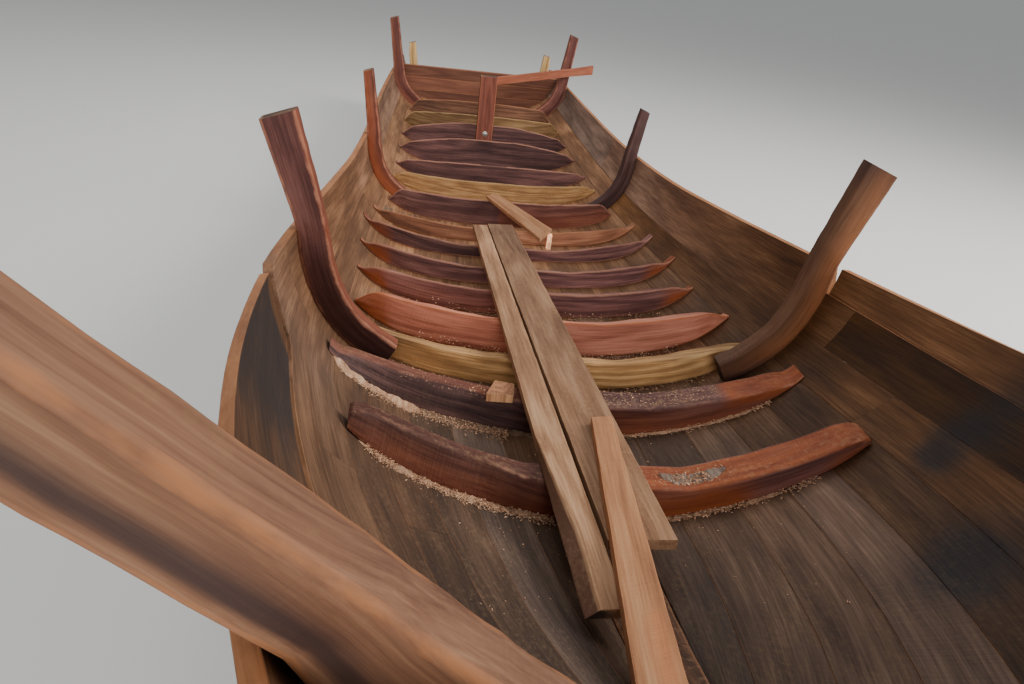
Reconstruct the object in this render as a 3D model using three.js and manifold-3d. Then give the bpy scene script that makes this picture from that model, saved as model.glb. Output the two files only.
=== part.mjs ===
// Open plank-built wooden boat hull of the longtail kind, still being built.
// Millimetres, +Z up, bow towards -Y, transom towards +Y, keel bottom on z = 0.
// The planking goes up first; then floor timbers, tall crooked futtocks and a
// transom are fitted against its inner face.

import * as THREE from "three";
import { mergeVertices } from "three/addons/utils/BufferGeometryUtils.js";
import Module from "manifold-3d";

const wasm = await Module();
wasm.setup();

// Fits between neighbouring pieces.
const seamGap = 0.5;
const seatGap = 0.3;

// Planking.
const plankThickness = 30;
const sternPlankEndY = 4600;
const girthSamples = 32;
const sectionSearchSteps = 40;
const sameVertexWithin = 1e-4;
const slopeStep = 0.02;
const stationStep = 0.5;

// Keel and stem.
const keelHalfWidth = 90;
const stemHalfWidth = 42;
const keelFlatFromY = -500;
const keelFlatToY = 3900;
const forefootDepth = 105;
const sternKeelDepth = 95;
const stemInnerDepth = 70;
const stemOuterDepth = 75;
const stemHeadRise = 136.5;
const stemFootDepth = 30;
const stemSteps = 8;
const keelFrontStation = 2;
const forefootCurve = 1.6;
const sternKeelCurve = 1.5;

// Section shape of the hull from bow (first row, along the stem) to stern.
// foot = seam against the keel or stem, rail = top edge of the planking.
// lowX..highZ shape the section between them, as parts of its half-width and rise.
const stationColumns = [
  "footY", "footZ", "railY", "railX", "railZ", "lowX", "lowZ", "highX", "highZ",
];
const stationRows = [
  [-2800, 670, -4450, 42, 1680, 1.0, 0.2, 1.0, 0.56],
  [-2700, 642, -4000, 262, 1562, 0.34, 0.24, 0.74, 0.56],
  [-2550, 600, -3550, 470, 1447, 0.36, 0.2, 0.8, 0.51],
  [-2350, 546, -3050, 655, 1326, 0.42, 0.16, 0.84, 0.46],
  [-2100, 486, -2550, 777, 1206, 0.47, 0.13, 0.87, 0.41],
  [-1750, 416, -2050, 850, 1092, 0.5, 0.1, 0.9, 0.36],
  [-1350, 360, -1550, 885, 992, 0.54, 0.05, 0.97, 0.29],
  [-850, 302, -950, 889, 893, 0.6, 0.02, 1.0, 0.22],
  [-250, 250, -250, 877, 790, 0.64, 0, 1.03, 0.14],
  [450, 192, 450, 862, 700, 0.66, 0, 1.06, 0.07],
  [1250, 146, 1250, 857, 630, 0.64, 0, 1.0, 0.16],
  [2050, 127, 2050, 860, 586, 0.62, 0, 0.97, 0.22],
  [2850, 136, 2850, 853, 570, 0.61, 0.01, 0.96, 0.24],
  [3650, 176, 3650, 822, 576, 0.6, 0.02, 0.95, 0.26],
  [4250, 220, 4250, 778, 598, 0.59, 0.03, 0.94, 0.28],
  [sternPlankEndY, 245, sternPlankEndY, 748, 614, 0.58, 0.04, 0.93, 0.3],
];
const stations = stationRows.map((row) =>
  Object.fromEntries(stationColumns.map((name, i) => [name, row[i]])));
const lastStation = stations.length - 1;

// Seams between the strakes, as parts of the girth from keel to rail.
const seamGirths = [0, 0.12, 0.27, 0.4, 0.525, 0.648, 0.77, 1];

// How far those seams drop towards the bow, as rows of station number and depth
// below the rail: on the left they make room for the deep wash strake.
const seamDrop = {
  left: [[0, 190], [2, 190], [3.65, 135], [4.45, 72], [5.4, 0]],
  right: [[0, 0]],
};

// Wash strakes, which raise the bow: rows of station number and depth below the
// rail. The left one is deep and stops short; the right one is narrow and runs on
// to the second futtock.
const washDepths = {
  left: [
    [0, 210], [2, 290], [3.65, 287], [4.45, 237], [5, 208], [5.25, 190], [5.4, 130], [5.5, 45],
  ],
  right: [[0, 190], [2, 180], [3.5, 150], [4.5, 115], [5.6, 105], [6.4, 98]],
};
const washTopDrop = { left: 16, right: 0 };
const washThickness = { left: 24, right: 30 };
const washSetOut = 9;
const washSeamGap = 0.9;
const washEndStep = 0.1;

// Floor timbers from bow to stern: crooks laid across the bottom.
const timberColumns = ["y", "left", "right", "tipZ", "middleZ", "thickness", "wood"];
const timberRows = [
  [-2010, 665, 680, 796, 598, 105, "redTimber"],
  [-1500, 800, 820, 668, 508, 110, "redTimber"],
  [-1130, 775, 785, 592, 462, 115, "yellowTimber"],
  [-820, 750, 780, 570, 463, 105, "tanTimber"],
  [-390, 775, 775, 485, 388, 100, "redTimber"],
  [20, 795, 810, 438, 324, 105, "redTimber"],
  [450, 825, 835, 398, 268, 105, "redTimber"],
  [740, 780, 785, 352, 264, 95, "tanTimber"],
  [1090, 705, 720, 368, 325, 105, "redTimber"],
  [1610, 705, 715, 320, 282, 105, "yellowTimber"],
  [1960, 700, 710, 300, 306, 100, "redTimber"],
  [2420, 695, 705, 300, 372, 105, "redTimber"],
  [2820, 690, 695, 318, 402, 100, "redTimber"],
  [3220, 680, 685, 372, 388, 100, "yellowTimber"],
  [3630, 640, 650, 392, 418, 100, "tanTimber"],
];
const timberFlatPart = 0.32;
const timberTopParts = [timberFlatPart, 0.55, 0.75, 0.93, 1];
const timberStraightRise = 0.55;
const timberTipRound = 28;
const timberBlankLow = 20;

// Futtocks: tall crooked ribs standing against the sides, above the rails.
// footGirth says how far up the side each foot begins, head is the inner top
// corner, and kneeWidth is the extra width where a crook fills out its bend.
const futtockColumns = [
  "y", "thickness", "footGirth", "footWidth", "sideWidth", "headWidth", "headX",
  "leftHeadZ", "rightHeadZ", "kneeWidth",
];
const futtockRows = [
  [-3130, 75, 0.3, 80, 102, 98, 1045, 1850, 1850, 50],
  [-1280, 65, 0.48, 100, 95, 112, 885, 1310, 1310, 0],
  [1220, 65, 0.42, 60, 80, 62, 830, 1020, 940, 0],
  [3830, 85, 0.36, 40, 95, 78, 785, 1050, 1050, 0],
];
const futtockSideSteps = 6;
const futtockBuried = 25;
const futtockFootPart = 0.4;
const futtockHeadSlant = 12;

// Transom of three boards on edge, with a quarter post behind each of its ends.
const transomY = 4230;
const transomThickness = 38;
const transomHalfWidth = 900;
const transomBoards = [
  ["transom_board_1", 180, 360],
  ["transom_board_2", 360.5, 480],
  ["transom_board_3", 480.5, 585],
];
const quarterDepth = 60;
const quarterOutline = [[560, 150], [650, 150], [705, 775], [625, 790]];

// Centre post: left, right, foot and head.
const postDepth = 82;
const post = { left: -85, right: 50, foot: 60, head: 792 };

// Loose boards: corners in plan (near left, near right, far right, far left).
const narrowBoard = [[-162, -2545], [-76, -2541], [-128, 535], [-210, 520]];
const narrowBoardThickness = 26;
const wideBoard = [[-70, -2330], [94, -2326], [20, 572], [-124, 550]];
const wideBoardThickness = 30;
const topBoard = [[-128, -2790], [-30, -2760], [58, -1795], [-4, -1805]];
const topBoardThickness = 28;
const stub = [[204, 408], [232, 408], [232, 438], [204, 438]];
const stubHeight = 86;
const shortBoard = [[157, 370], [226, 424], [-36, 1100], [-100, 1060]];
const shortBoardThickness = 20;
const shortBoardDip = 29;
const shortBoardLift = 14;
const shortBoardTwist = 11;

// Brace from the post to the right stern futtock: heights of its lower and upper
// edge at the post, at the futtock and at its end past the rail.
const braceStartX = 26;
const braceTouchX = 832;
const braceOverrun = 408;
const braceThickness = 20;
const braceHeights = [[725, 785], [695, 765], [680, 765]];

// Chamfer left on the edges of sawn and hewn timbers.
const timberChamfer = 6;

const materials = {
  plank: new THREE.MeshStandardMaterial({ color: 0x7a5236, roughness: 0.8, metalness: 0 }),
  keel: new THREE.MeshStandardMaterial({ color: 0x6b3f2a, roughness: 0.8, metalness: 0 }),
  redTimber: new THREE.MeshStandardMaterial({ color: 0x8a4327, roughness: 0.75, metalness: 0 }),
  yellowTimber: new THREE.MeshStandardMaterial({ color: 0xb08a4c, roughness: 0.75, metalness: 0 }),
  tanTimber: new THREE.MeshStandardMaterial({ color: 0x9b6a43, roughness: 0.75, metalness: 0 }),
  board: new THREE.MeshStandardMaterial({ color: 0xb89472, roughness: 0.8, metalness: 0 }),
};

const group = new THREE.Group();
group.name = "root";

function addPiece(name, geometry, material) {
  const mesh = new THREE.Mesh(geometry, material.clone());
  mesh.name = name;
  group.add(mesh);
  return mesh;
}

// Smooth value between the station rows.
function stationValue(name, s) {
  const at = Math.min(Math.max(s, 0), lastStation);
  const i = Math.min(Math.floor(at), lastStation - 1);
  const u = at - i;
  const b = stations[i][name];
  const c = stations[i + 1][name];
  const a = i > 0 ? stations[i - 1][name] : 2 * b - c;
  const d = i + 2 <= lastStation ? stations[i + 2][name] : 2 * c - b;
  const lift = 2 * a - 5 * b + 4 * c - d;
  const bend = 3 * b - a - 3 * c + d;
  return b + 0.5 * u * (c - a + u * (lift + u * bend));
}

// Half-width of the keel and stem where the lowest strake meets it.
function footHalfWidth(s) {
  const taper = Math.min(s / 6, 1);
  return stemHalfWidth + (keelHalfWidth - stemHalfWidth) * taper * (2 - taper);
}

// Point on the inner face of the planking, t from foot to rail.
function skinPoint(s, t) {
  const half = s < 1e-6 ? stemHalfWidth : footHalfWidth(s);
  const footY = stationValue("footY", s);
  const footZ = stationValue("footZ", s);
  const run = stationValue("railY", s) - footY;
  const rise = stationValue("railZ", s) - footZ;
  const spread = Math.max(stationValue("railX", s) - half, 0);
  const w1 = 3 * t * (1 - t) ** 2;
  const w2 = 3 * t * t * (1 - t);
  const w3 = t ** 3;
  return new THREE.Vector3(
    half + spread * (w1 * stationValue("lowX", s) + w2 * stationValue("highX", s) + w3),
    footY + run * (w1 / 3 + w2 * 2 / 3 + w3),
    footZ + rise * (w1 * stationValue("lowZ", s) + w2 * stationValue("highZ", s) + w3),
  );
}

// Table of girth against t at one station.
const girthTables = new Map();
function girthTable(s) {
  const key = s.toFixed(6);
  if (!girthTables.has(key)) {
    const lengths = [0];
    let last = skinPoint(s, 0);
    for (let i = 1; i <= girthSamples; i += 1) {
      const next = skinPoint(s, i / girthSamples);
      lengths.push(lengths[i - 1] + next.distanceTo(last));
      last = next;
    }
    girthTables.set(key, lengths);
  }
  return girthTables.get(key);
}

function girthAt(s) {
  return girthTable(s)[girthSamples];
}

function tAtGirth(s, g) {
  const lengths = girthTable(s);
  const want = Math.min(Math.max(g, 0), 1) * lengths[girthSamples];
  let i = 1;
  while (i < girthSamples && lengths[i] < want) i += 1;
  const part = (want - lengths[i - 1]) / (lengths[i] - lengths[i - 1]);
  return (i - 1 + part) / girthSamples;
}

function pointAtGirth(s, g) {
  return skinPoint(s, tAtGirth(s, g));
}

// Outward direction square to the planking.
function normalAtGirth(s, g) {
  const t = tAtGirth(s, g);
  const ahead = skinPoint(Math.min(s + slopeStep, lastStation), t);
  const behind = skinPoint(Math.max(s - slopeStep, 0), t);
  const up = skinPoint(s, Math.min(t + slopeStep, 1));
  const down = skinPoint(s, Math.max(t - slopeStep, 0));
  const along = ahead.sub(behind);
  const across = up.sub(down);
  return new THREE.Vector3().crossVectors(along, across).normalize();
}

// Straight-line value from rows of station number and value.
function rowValue(rows, s) {
  for (let i = 1; i < rows.length; i += 1) {
    const [s0, v0] = rows[i - 1];
    const [s1, v1] = rows[i];
    if (s <= s1) return v0 + (v1 - v0) * (s - s0) / (s1 - s0);
  }
  return rows[rows.length - 1][1];
}

// Seam below strake number n + 1, as a part of the girth.
function seamGirth(side, n, s) {
  return seamGirths[n] * (1 - rowValue(seamDrop[side], s) / girthAt(s));
}

// Top edge of strake 7: under the wash strake, and behind it up at the rail.
function washEnd(side) {
  return washDepths[side].at(-1)[0];
}

function upperStrakeTop(side, s) {
  const pastEnd = Math.max(s - washEnd(side), 0);
  const underWash = Math.max(1 - pastEnd / washEndStep, 0);
  return 1 - rowValue(washDepths[side], s) * underWash / girthAt(s);
}

const sampleSet = new Set();
for (let i = 0; i * stationStep <= lastStation; i += 1) sampleSet.add(i * stationStep);
for (const side of Object.keys(washDepths)) {
  for (const [s] of washDepths[side]) sampleSet.add(s);
  sampleSet.add(washEnd(side) + washEndStep);
}
const stationSamples = [...sampleSet].sort((a, b) => a - b);

// Closed solid through a row of rings with the same number of points. From the
// point number crossFrom on, the quads between two rings are split the other way.
function loftRings(rings, mirrored, crossFrom = Infinity) {
  const count = rings[0].length;
  const positions = rings.flat().flatMap((p) => [mirrored ? -p.x : p.x, p.y, p.z]);
  const index = [];
  const addTriangle = (a, b, c) => {
    if (mirrored) index.push(a, c, b);
    else index.push(a, b, c);
  };
  for (let r = 0; r + 1 < rings.length; r += 1) {
    for (let i = 0; i < count; i += 1) {
      const j = (i + 1) % count;
      const a = r * count + i;
      const b = r * count + j;
      const c = (r + 1) * count + j;
      const d = (r + 1) * count + i;
      if (i < crossFrom) {
        addTriangle(a, b, c);
        addTriangle(a, c, d);
      } else {
        addTriangle(a, b, d);
        addTriangle(b, c, d);
      }
    }
  }
  const endRing = (r, flip) => {
    const ring = rings[r];
    const origin = ring[0];
    const normal = new THREE.Vector3();
    for (let i = 1; i + 1 < count; i += 1) {
      normal.add(new THREE.Vector3().crossVectors(
        ring[i].clone().sub(origin), ring[i + 1].clone().sub(origin)));
    }
    normal.normalize();
    const axisU = ring[1].clone().sub(origin).normalize();
    const axisV = new THREE.Vector3().crossVectors(normal, axisU);
    const flat = ring.map((p) => {
      const d = p.clone().sub(origin);
      return new THREE.Vector2(d.dot(axisU), d.dot(axisV));
    });
    for (const [a, b, c] of THREE.ShapeUtils.triangulateShape(flat, [])) {
      if (flip) addTriangle(r * count + a, r * count + c, r * count + b);
      else addTriangle(r * count + a, r * count + b, r * count + c);
    }
  };
  endRing(0, true);
  endRing(rings.length - 1, false);
  const geometry = new THREE.BufferGeometry();
  geometry.setAttribute("position", new THREE.Float32BufferAttribute(positions, 3));
  geometry.setIndex(index);
  return facingOut(geometry);
}

// Turns every triangle round where the solid came out inside out.
function facingOut(geometry) {
  const p = geometry.attributes.position;
  const index = geometry.index;
  let volume = 0;
  const [a, b, c] = [new THREE.Vector3(), new THREE.Vector3(), new THREE.Vector3()];
  for (let i = 0; i < index.count; i += 3) {
    a.fromBufferAttribute(p, index.getX(i));
    b.fromBufferAttribute(p, index.getX(i + 1));
    c.fromBufferAttribute(p, index.getX(i + 2));
    volume += a.dot(b.cross(c));
  }
  if (volume < 0) {
    for (let i = 0; i < index.count; i += 3) {
      const second = index.getX(i + 1);
      index.setX(i + 1, index.getX(i + 2));
      index.setX(i + 2, second);
    }
  }
  return geometry;
}

// Ring round one strake at one station: inner face up, outer face back down.
function strakeRing(s, low, high, setOut, thickness) {
  const edge = seamGap / 2 / girthAt(s);
  const girths = [low + edge, (low + high) / 2, high - edge];
  const inner = girths.map((g) =>
    pointAtGirth(s, g).addScaledVector(normalAtGirth(s, g), setOut));
  const outer = girths.map((g) =>
    pointAtGirth(s, g).addScaledVector(normalAtGirth(s, g), setOut + thickness));
  return [...inner, ...outer.reverse()];
}

// Strakes, number 1 against the keel, number 7 at the rail.
for (let n = 1; n < seamGirths.length; n += 1) {
  for (const side of ["left", "right"]) {
    const isTop = n === seamGirths.length - 1;
    const rings = stationSamples.map((s) => {
      const high = isTop ? upperStrakeTop(side, s) : seamGirth(side, n, s);
      return strakeRing(s, seamGirth(side, n - 1, s), high, 0, plankThickness);
    });
    const lowEdge = rings[0].length - 1;
    addPiece(`strake_${n}_${side}`, loftRings(rings, side === "left", lowEdge), materials.plank);
  }
}

// Wash strakes, set a little outside the strakes that they stand on.
for (const side of ["left", "right"]) {
  const rings = stationSamples.filter((s) => s <= washEnd(side)).map((s) => {
    const low = upperStrakeTop(side, s) + (washSeamGap - seamGap) / girthAt(s);
    const high = 1 - washTopDrop[side] / girthAt(s);
    return strakeRing(s, low, high, washSetOut, washThickness[side]);
  });
  const lowEdge = rings[0].length - 1;
  addPiece(`wash_strake_${side}`, loftRings(rings, side === "left", lowEdge), materials.plank);
}

// Keel: a broad baulk with a straight underside, swept up at the forefoot.
function keelBottom(y, top) {
  const frontY = stationValue("footY", keelFrontStation);
  if (y < keelFlatFromY) {
    const part = (keelFlatFromY - y) / (keelFlatFromY - frontY);
    const frontLow = stationValue("footZ", keelFrontStation) - forefootDepth;
    return frontLow * part ** forefootCurve;
  }
  if (y > keelFlatToY) {
    const part = (y - keelFlatToY) / (sternPlankEndY - keelFlatToY);
    return (top - sternKeelDepth) * part ** sternKeelCurve;
  }
  return 0;
}

function keelRing(s) {
  const y = stationValue("footY", s);
  const z = stationValue("footZ", s);
  const half = footHalfWidth(s) - seatGap;
  const bottom = keelBottom(y, z);
  return [
    new THREE.Vector3(-half, y, z),
    new THREE.Vector3(half, y, z),
    new THREE.Vector3(half, y, bottom),
    new THREE.Vector3(-half, y, bottom),
  ];
}
const keelSamples = stationSamples.filter((s) => s >= keelFrontStation);
addPiece("keel", loftRings(keelSamples.map(keelRing), false), materials.keel);

// Stem: raked forward from the keel's front end to a head above the rails.
const stemRings = [];
const stemFrontY = stationValue("footY", keelFrontStation) - seatGap;
const stemStartZ = stationValue("footZ", keelFrontStation);
const stemStartHalf = footHalfWidth(keelFrontStation) - seatGap;
stemRings.push([
  new THREE.Vector3(-stemStartHalf, stemFrontY, stemStartZ),
  new THREE.Vector3(stemStartHalf, stemFrontY, stemStartZ),
  new THREE.Vector3(stemStartHalf, stemFrontY, stemStartZ - forefootDepth),
  new THREE.Vector3(-stemStartHalf, stemFrontY, stemStartZ - forefootDepth),
]);
for (let i = 0; i <= stemSteps; i += 1) {
  const t = i / stemSteps;
  const p = skinPoint(0, t);
  const ahead = skinPoint(0, Math.min(t + slopeStep, 1));
  const behind = skinPoint(0, Math.max(t - slopeStep, 0));
  const along = ahead.sub(behind).setX(0).normalize();
  const outward = new THREE.Vector3(0, -along.z, along.y);
  if (outward.z > 0) outward.negate();
  const half = stemHalfWidth - seatGap;
  const innerDepth = i === 0 ? stemFootDepth : stemInnerDepth;
  const inner = p.clone().setX(0).addScaledVector(outward, -innerDepth);
  const outer = p.clone().setX(0).addScaledVector(outward, stemOuterDepth);
  stemRings.push([
    inner.clone().setX(-half),
    inner.clone().setX(half),
    outer.clone().setX(half),
    outer.clone().setX(-half),
  ]);
  if (i === stemSteps) {
    stemRings.push(stemRings[stemRings.length - 1].map((q) =>
      q.clone().addScaledVector(along, stemHeadRise)));
  }
}
addPiece("stem", loftRings(stemRings, false), materials.keel);

// Space inside the planking, open above the rails, that trims every fitted timber.
const insideFromStation = 0.9;
const clearOfRailX = 1500;
const clearOfRailZ = 2600;
function insideHalfRing(side, s) {
  const girths = [0];
  for (let n = 1; n < seamGirths.length; n += 1) {
    const low = seamGirth(side, n - 1, s);
    const isTop = n === seamGirths.length - 1;
    const high = isTop ? upperStrakeTop(side, s) : seamGirth(side, n, s);
    girths.push((low + high) / 2, high);
  }
  girths.push((girths.at(-1) + 1) / 2, 1);
  const ring = girths.map((g) =>
    pointAtGirth(s, g).addScaledVector(normalAtGirth(s, g), -seatGap));
  const foot = skinPoint(s, 0);
  ring[0].set(footHalfWidth(s) - seatGap, foot.y, foot.z + seatGap);
  const rail = ring.at(-1);
  ring.push(new THREE.Vector3(clearOfRailX, rail.y, rail.z + 1));
  ring.push(new THREE.Vector3(clearOfRailX, rail.y, clearOfRailZ));
  return ring;
}

function insideRing(s) {
  const left = insideHalfRing("left", s).map((p) => p.setX(-p.x));
  return [...insideHalfRing("right", s), ...left.reverse()];
}

function toManifold(geometry) {
  const bare = geometry.clone();
  bare.deleteAttribute("normal");
  bare.deleteAttribute("uv");
  const merged = mergeVertices(bare, sameVertexWithin);
  return new wasm.Manifold(new wasm.Mesh({
    numProp: 3,
    vertProperties: new Float32Array(merged.attributes.position.array),
    triVerts: new Uint32Array(merged.index.array),
  }));
}

function fromManifold(solid) {
  const mesh = solid.getMesh();
  const geometry = new THREE.BufferGeometry();
  geometry.setAttribute("position",
    new THREE.Float32BufferAttribute(Array.from(mesh.vertProperties), 3));
  geometry.setIndex(Array.from(mesh.triVerts));
  return geometry;
}

const insideRings = stationSamples.filter((s) => s >= insideFromStation).map(insideRing);
const insideSpace = toManifold(loftRings(insideRings, false, insideRings[0].length / 2));

// Flat shape across the boat (x, z) given thickness along it.
function crossPiece(outline, y, thickness) {
  const shape = new THREE.Shape(outline.map(([x, z]) => new THREE.Vector2(x, z)));
  const geometry = new THREE.ExtrudeGeometry(shape, {
    depth: thickness - 2 * timberChamfer,
    bevelEnabled: true,
    bevelThickness: timberChamfer,
    bevelSize: timberChamfer,
    bevelOffset: -timberChamfer,
    bevelSegments: 1,
  });
  geometry.translate(0, 0, timberChamfer - thickness / 2);
  geometry.rotateX(Math.PI / 2);
  geometry.translate(0, y, 0);
  return geometry;
}

function trimmed(geometry) {
  return fromManifold(toManifold(geometry).intersect(insideSpace));
}

// Floor timbers.
const timbers = timberRows.map((row) =>
  Object.fromEntries(timberColumns.map((name, i) => [name, row[i]])));
function timberTop(timber, part) {
  const side = Math.max((Math.abs(part) - timberFlatPart) / (1 - timberFlatPart), 0);
  const rise = timberStraightRise * side + (1 - timberStraightRise) * side * side;
  return timber.middleZ + (timber.tipZ - timber.middleZ) * rise;
}
timbers.forEach((timber, i) => {
  const parts = [...timberTopParts.map((part) => -part).reverse(), ...timberTopParts];
  const top = parts.map((part) => {
    const reach = part < 0 ? timber.left : timber.right;
    const round = Math.abs(part) === 1 ? timberTipRound : 0;
    return [part * reach, timberTop(timber, part) - round];
  });
  const bottom = [[-timber.left, timberBlankLow], [timber.right, timberBlankLow]];
  const outline = [...bottom, ...top.reverse()];
  const number = String(i + 1).padStart(2, "0");
  const geometry = trimmed(crossPiece(outline, timber.y, timber.thickness));
  addPiece(`floor_timber_${number}`, geometry, materials[timber.wood]);
});

// Futtocks.
const futtocks = futtockRows.map((row) =>
  Object.fromEntries(futtockColumns.map((name, i) => [name, row[i]])));

// Where the inner face of the planking crosses an upright plane across the boat.
function sectionPoint(y, g) {
  let low = 0;
  let high = lastStation;
  for (let i = 0; i < sectionSearchSteps; i += 1) {
    const middle = (low + high) / 2;
    if (pointAtGirth(middle, g).y < y) low = middle;
    else high = middle;
  }
  const p = pointAtGirth(low, g);
  return new THREE.Vector2(p.x, p.z);
}

function futtockOutline(futtock, headZ) {
  const outer = [];
  const inner = [];
  for (let i = 0; i <= futtockSideSteps; i += 1) {
    const part = i / futtockSideSteps;
    const g = futtock.footGirth + (1 - futtock.footGirth) * part;
    const here = sectionPoint(futtock.y, g);
    const along = sectionPoint(futtock.y, Math.min(g + slopeStep, 1))
      .sub(sectionPoint(futtock.y, g - slopeStep)).normalize();
    const inward = new THREE.Vector2(-along.y, along.x);
    const grow = Math.min(part / futtockFootPart, 1);
    const straight = futtock.footWidth + (futtock.sideWidth - futtock.footWidth) * grow;
    const width = straight + futtock.kneeWidth * Math.sin(Math.PI * part);
    const sunk = i === futtockSideSteps ? 0 : futtockBuried;
    outer.push(here.clone().addScaledVector(inward, -sunk));
    inner.push(here.clone().addScaledVector(inward, width));
  }
  const rail = outer[futtockSideSteps];
  const head = new THREE.Vector2(futtock.headX, headZ);
  const lean = head.clone().sub(inner[futtockSideSteps]).normalize();
  const across = new THREE.Vector2(lean.y, -lean.x);
  const outerHead = head.clone().addScaledVector(across, futtock.headWidth);
  inner.push(head);
  outer.push(rail.clone().lerp(outerHead, 0.5));
  outer.push(outerHead.clone().addScaledVector(lean, -futtockHeadSlant));
  return [...outer, ...inner.reverse()].map((p) => [p.x, p.y]);
}
futtocks.forEach((futtock, i) => {
  const outline = futtockOutline(futtock, futtock.rightHeadZ);
  const right = trimmed(crossPiece(outline, futtock.y, futtock.thickness));
  const flipped = futtockOutline(futtock, futtock.leftHeadZ).map(([x, z]) => [-x, z]).reverse();
  const left = trimmed(crossPiece(flipped, futtock.y, futtock.thickness));
  addPiece(`futtock_${i + 1}_right`, right, materials.redTimber);
  addPiece(`futtock_${i + 1}_left`, left, materials.redTimber);
});

// Transom boards.
for (const [name, low, high] of transomBoards) {
  const half = transomHalfWidth;
  const outline = [[-half, low], [half, low], [half, high], [-half, high]];
  addPiece(name, trimmed(crossPiece(outline, transomY, transomThickness)), materials.redTimber);
}

// Post standing on the keel against the front face of floor timber 13.
const postBack = timbers[12].y - timbers[12].thickness / 2 - seatGap;
const postOutline = [
  [post.left, post.foot], [post.right, post.foot],
  [post.right, post.head], [post.left, post.head],
];
addPiece("centre_post",
  trimmed(crossPiece(postOutline, postBack - postDepth / 2, postDepth)),
  materials.redTimber);

// Quarter posts behind the ends of the transom.
const quarterFront = transomY + transomThickness / 2 + seatGap;
for (const [name, side] of [["quarter_post_left", -1], ["quarter_post_right", 1]]) {
  const outline = quarterOutline.map(([x, z]) => [side * x, z]);
  if (side < 0) outline.reverse();
  addPiece(name,
    trimmed(crossPiece(outline, quarterFront + quarterDepth / 2, quarterDepth)),
    materials.tanTimber);
}

// Board between two plan lines, with a rule for its underside height at each corner.
function layBoard(name, corners, thickness, underside, material) {
  const ring = (pair) => {
    const [a, b] = pair;
    return [
      new THREE.Vector3(a[0], a[1], underside(a)),
      new THREE.Vector3(b[0], b[1], underside(b)),
      new THREE.Vector3(b[0], b[1], underside(b) + thickness),
      new THREE.Vector3(a[0], a[1], underside(a) + thickness),
    ];
  };
  const [nearLeft, nearRight, farRight, farLeft] = corners;
  const rings = [ring([nearLeft, nearRight]), ring([farLeft, farRight])];
  addPiece(name, loftRings(rings, false), material);
}

// Loose boards laid along the middle, resting on the first and fourth floor timbers.
const nearRest = timbers[0];
const farRest = timbers[3];
const nearRestY = nearRest.y + nearRest.thickness / 2;
const farRestY = farRest.y + farRest.thickness / 2;
const boardSlope = (farRest.middleZ - nearRest.middleZ) / (farRestY - nearRestY);
const restLine = ([, y]) => nearRest.middleZ + seatGap + boardSlope * (y - nearRestY);
const topOfWideBoard = (corner) => restLine(corner) + wideBoardThickness + seatGap;
layBoard("loose_board_1", narrowBoard, narrowBoardThickness, restLine, materials.board);
layBoard("loose_board_2", wideBoard, wideBoardThickness, restLine, materials.board);
layBoard("loose_board_3", topBoard, topBoardThickness, topOfWideBoard, materials.board);

// Short board from floor timber 9 to a stub on floor timber 7, which props its right
// edge, so that it lies aslant and a little twisted.
const stubFoot = timbers[6].middleZ + seatGap;
const stubTop = stubFoot + stubHeight;
layBoard("board_stub", stub, stubHeight, () => stubFoot, materials.board);
const shortFarZ = timbers[8].middleZ + seatGap;
const shortBoardHeights = [
  stubTop - shortBoardDip, stubTop + shortBoardLift, shortFarZ + shortBoardTwist, shortFarZ,
];
layBoard("loose_board_4", shortBoard, shortBoardThickness,
  (corner) => shortBoardHeights[shortBoard.indexOf(corner)], materials.board);

// Brace from the post to the right stern futtock, running on past the rail.
const sternFuttock = futtocks.at(-1);
const braceStart = new THREE.Vector2(braceStartX, postBack + 2 * seatGap);
const braceTouch = new THREE.Vector2(
  braceTouchX, sternFuttock.y - sternFuttock.thickness / 2 - seatGap);
const braceRun = braceTouch.clone().sub(braceStart).normalize();
const braceSide = new THREE.Vector2(braceRun.y, -braceRun.x);
const braceEnd = braceTouch.clone().addScaledVector(braceRun, braceOverrun);
const braceRing = (at, [low, high]) => {
  const inner = at;
  const outer = at.clone().addScaledVector(braceSide, braceThickness);
  if (at === braceStart) outer.addScaledVector(braceRun, (at.y - outer.y) / braceRun.y);
  return [
    new THREE.Vector3(inner.x, inner.y, low),
    new THREE.Vector3(outer.x, outer.y, low),
    new THREE.Vector3(outer.x, outer.y, high),
    new THREE.Vector3(inner.x, inner.y, high),
  ];
};
const braceRings = [braceStart, braceTouch, braceEnd].map((at, i) =>
  braceRing(at, braceHeights[i]));
addPiece("brace_batten", loftRings(braceRings, false), materials.redTimber);

export default group;
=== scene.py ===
import math

import bmesh
import bpy
import numpy as np
from mathutils import Matrix, Vector


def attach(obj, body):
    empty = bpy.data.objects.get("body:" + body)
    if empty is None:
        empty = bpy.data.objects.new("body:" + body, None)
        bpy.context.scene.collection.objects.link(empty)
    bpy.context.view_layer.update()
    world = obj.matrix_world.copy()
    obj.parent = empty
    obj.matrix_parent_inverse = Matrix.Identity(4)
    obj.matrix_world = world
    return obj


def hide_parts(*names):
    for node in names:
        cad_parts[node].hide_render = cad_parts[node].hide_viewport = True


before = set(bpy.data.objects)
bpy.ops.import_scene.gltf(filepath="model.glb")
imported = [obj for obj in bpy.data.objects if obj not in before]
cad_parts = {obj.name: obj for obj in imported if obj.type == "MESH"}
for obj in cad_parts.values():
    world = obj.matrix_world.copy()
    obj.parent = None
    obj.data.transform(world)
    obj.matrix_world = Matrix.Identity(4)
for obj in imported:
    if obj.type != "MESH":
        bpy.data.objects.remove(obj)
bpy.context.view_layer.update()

# Camera beside and above the bow, looking aft and down along the open hull.
# Its place, lens and slight lean follow the photographed view.
photo_width_px = 1024
focal_length_px = 754.045
sensor_width_mm = 36.0
camera_place = Vector((-0.5269, -3.55, 1.8213))
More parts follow.
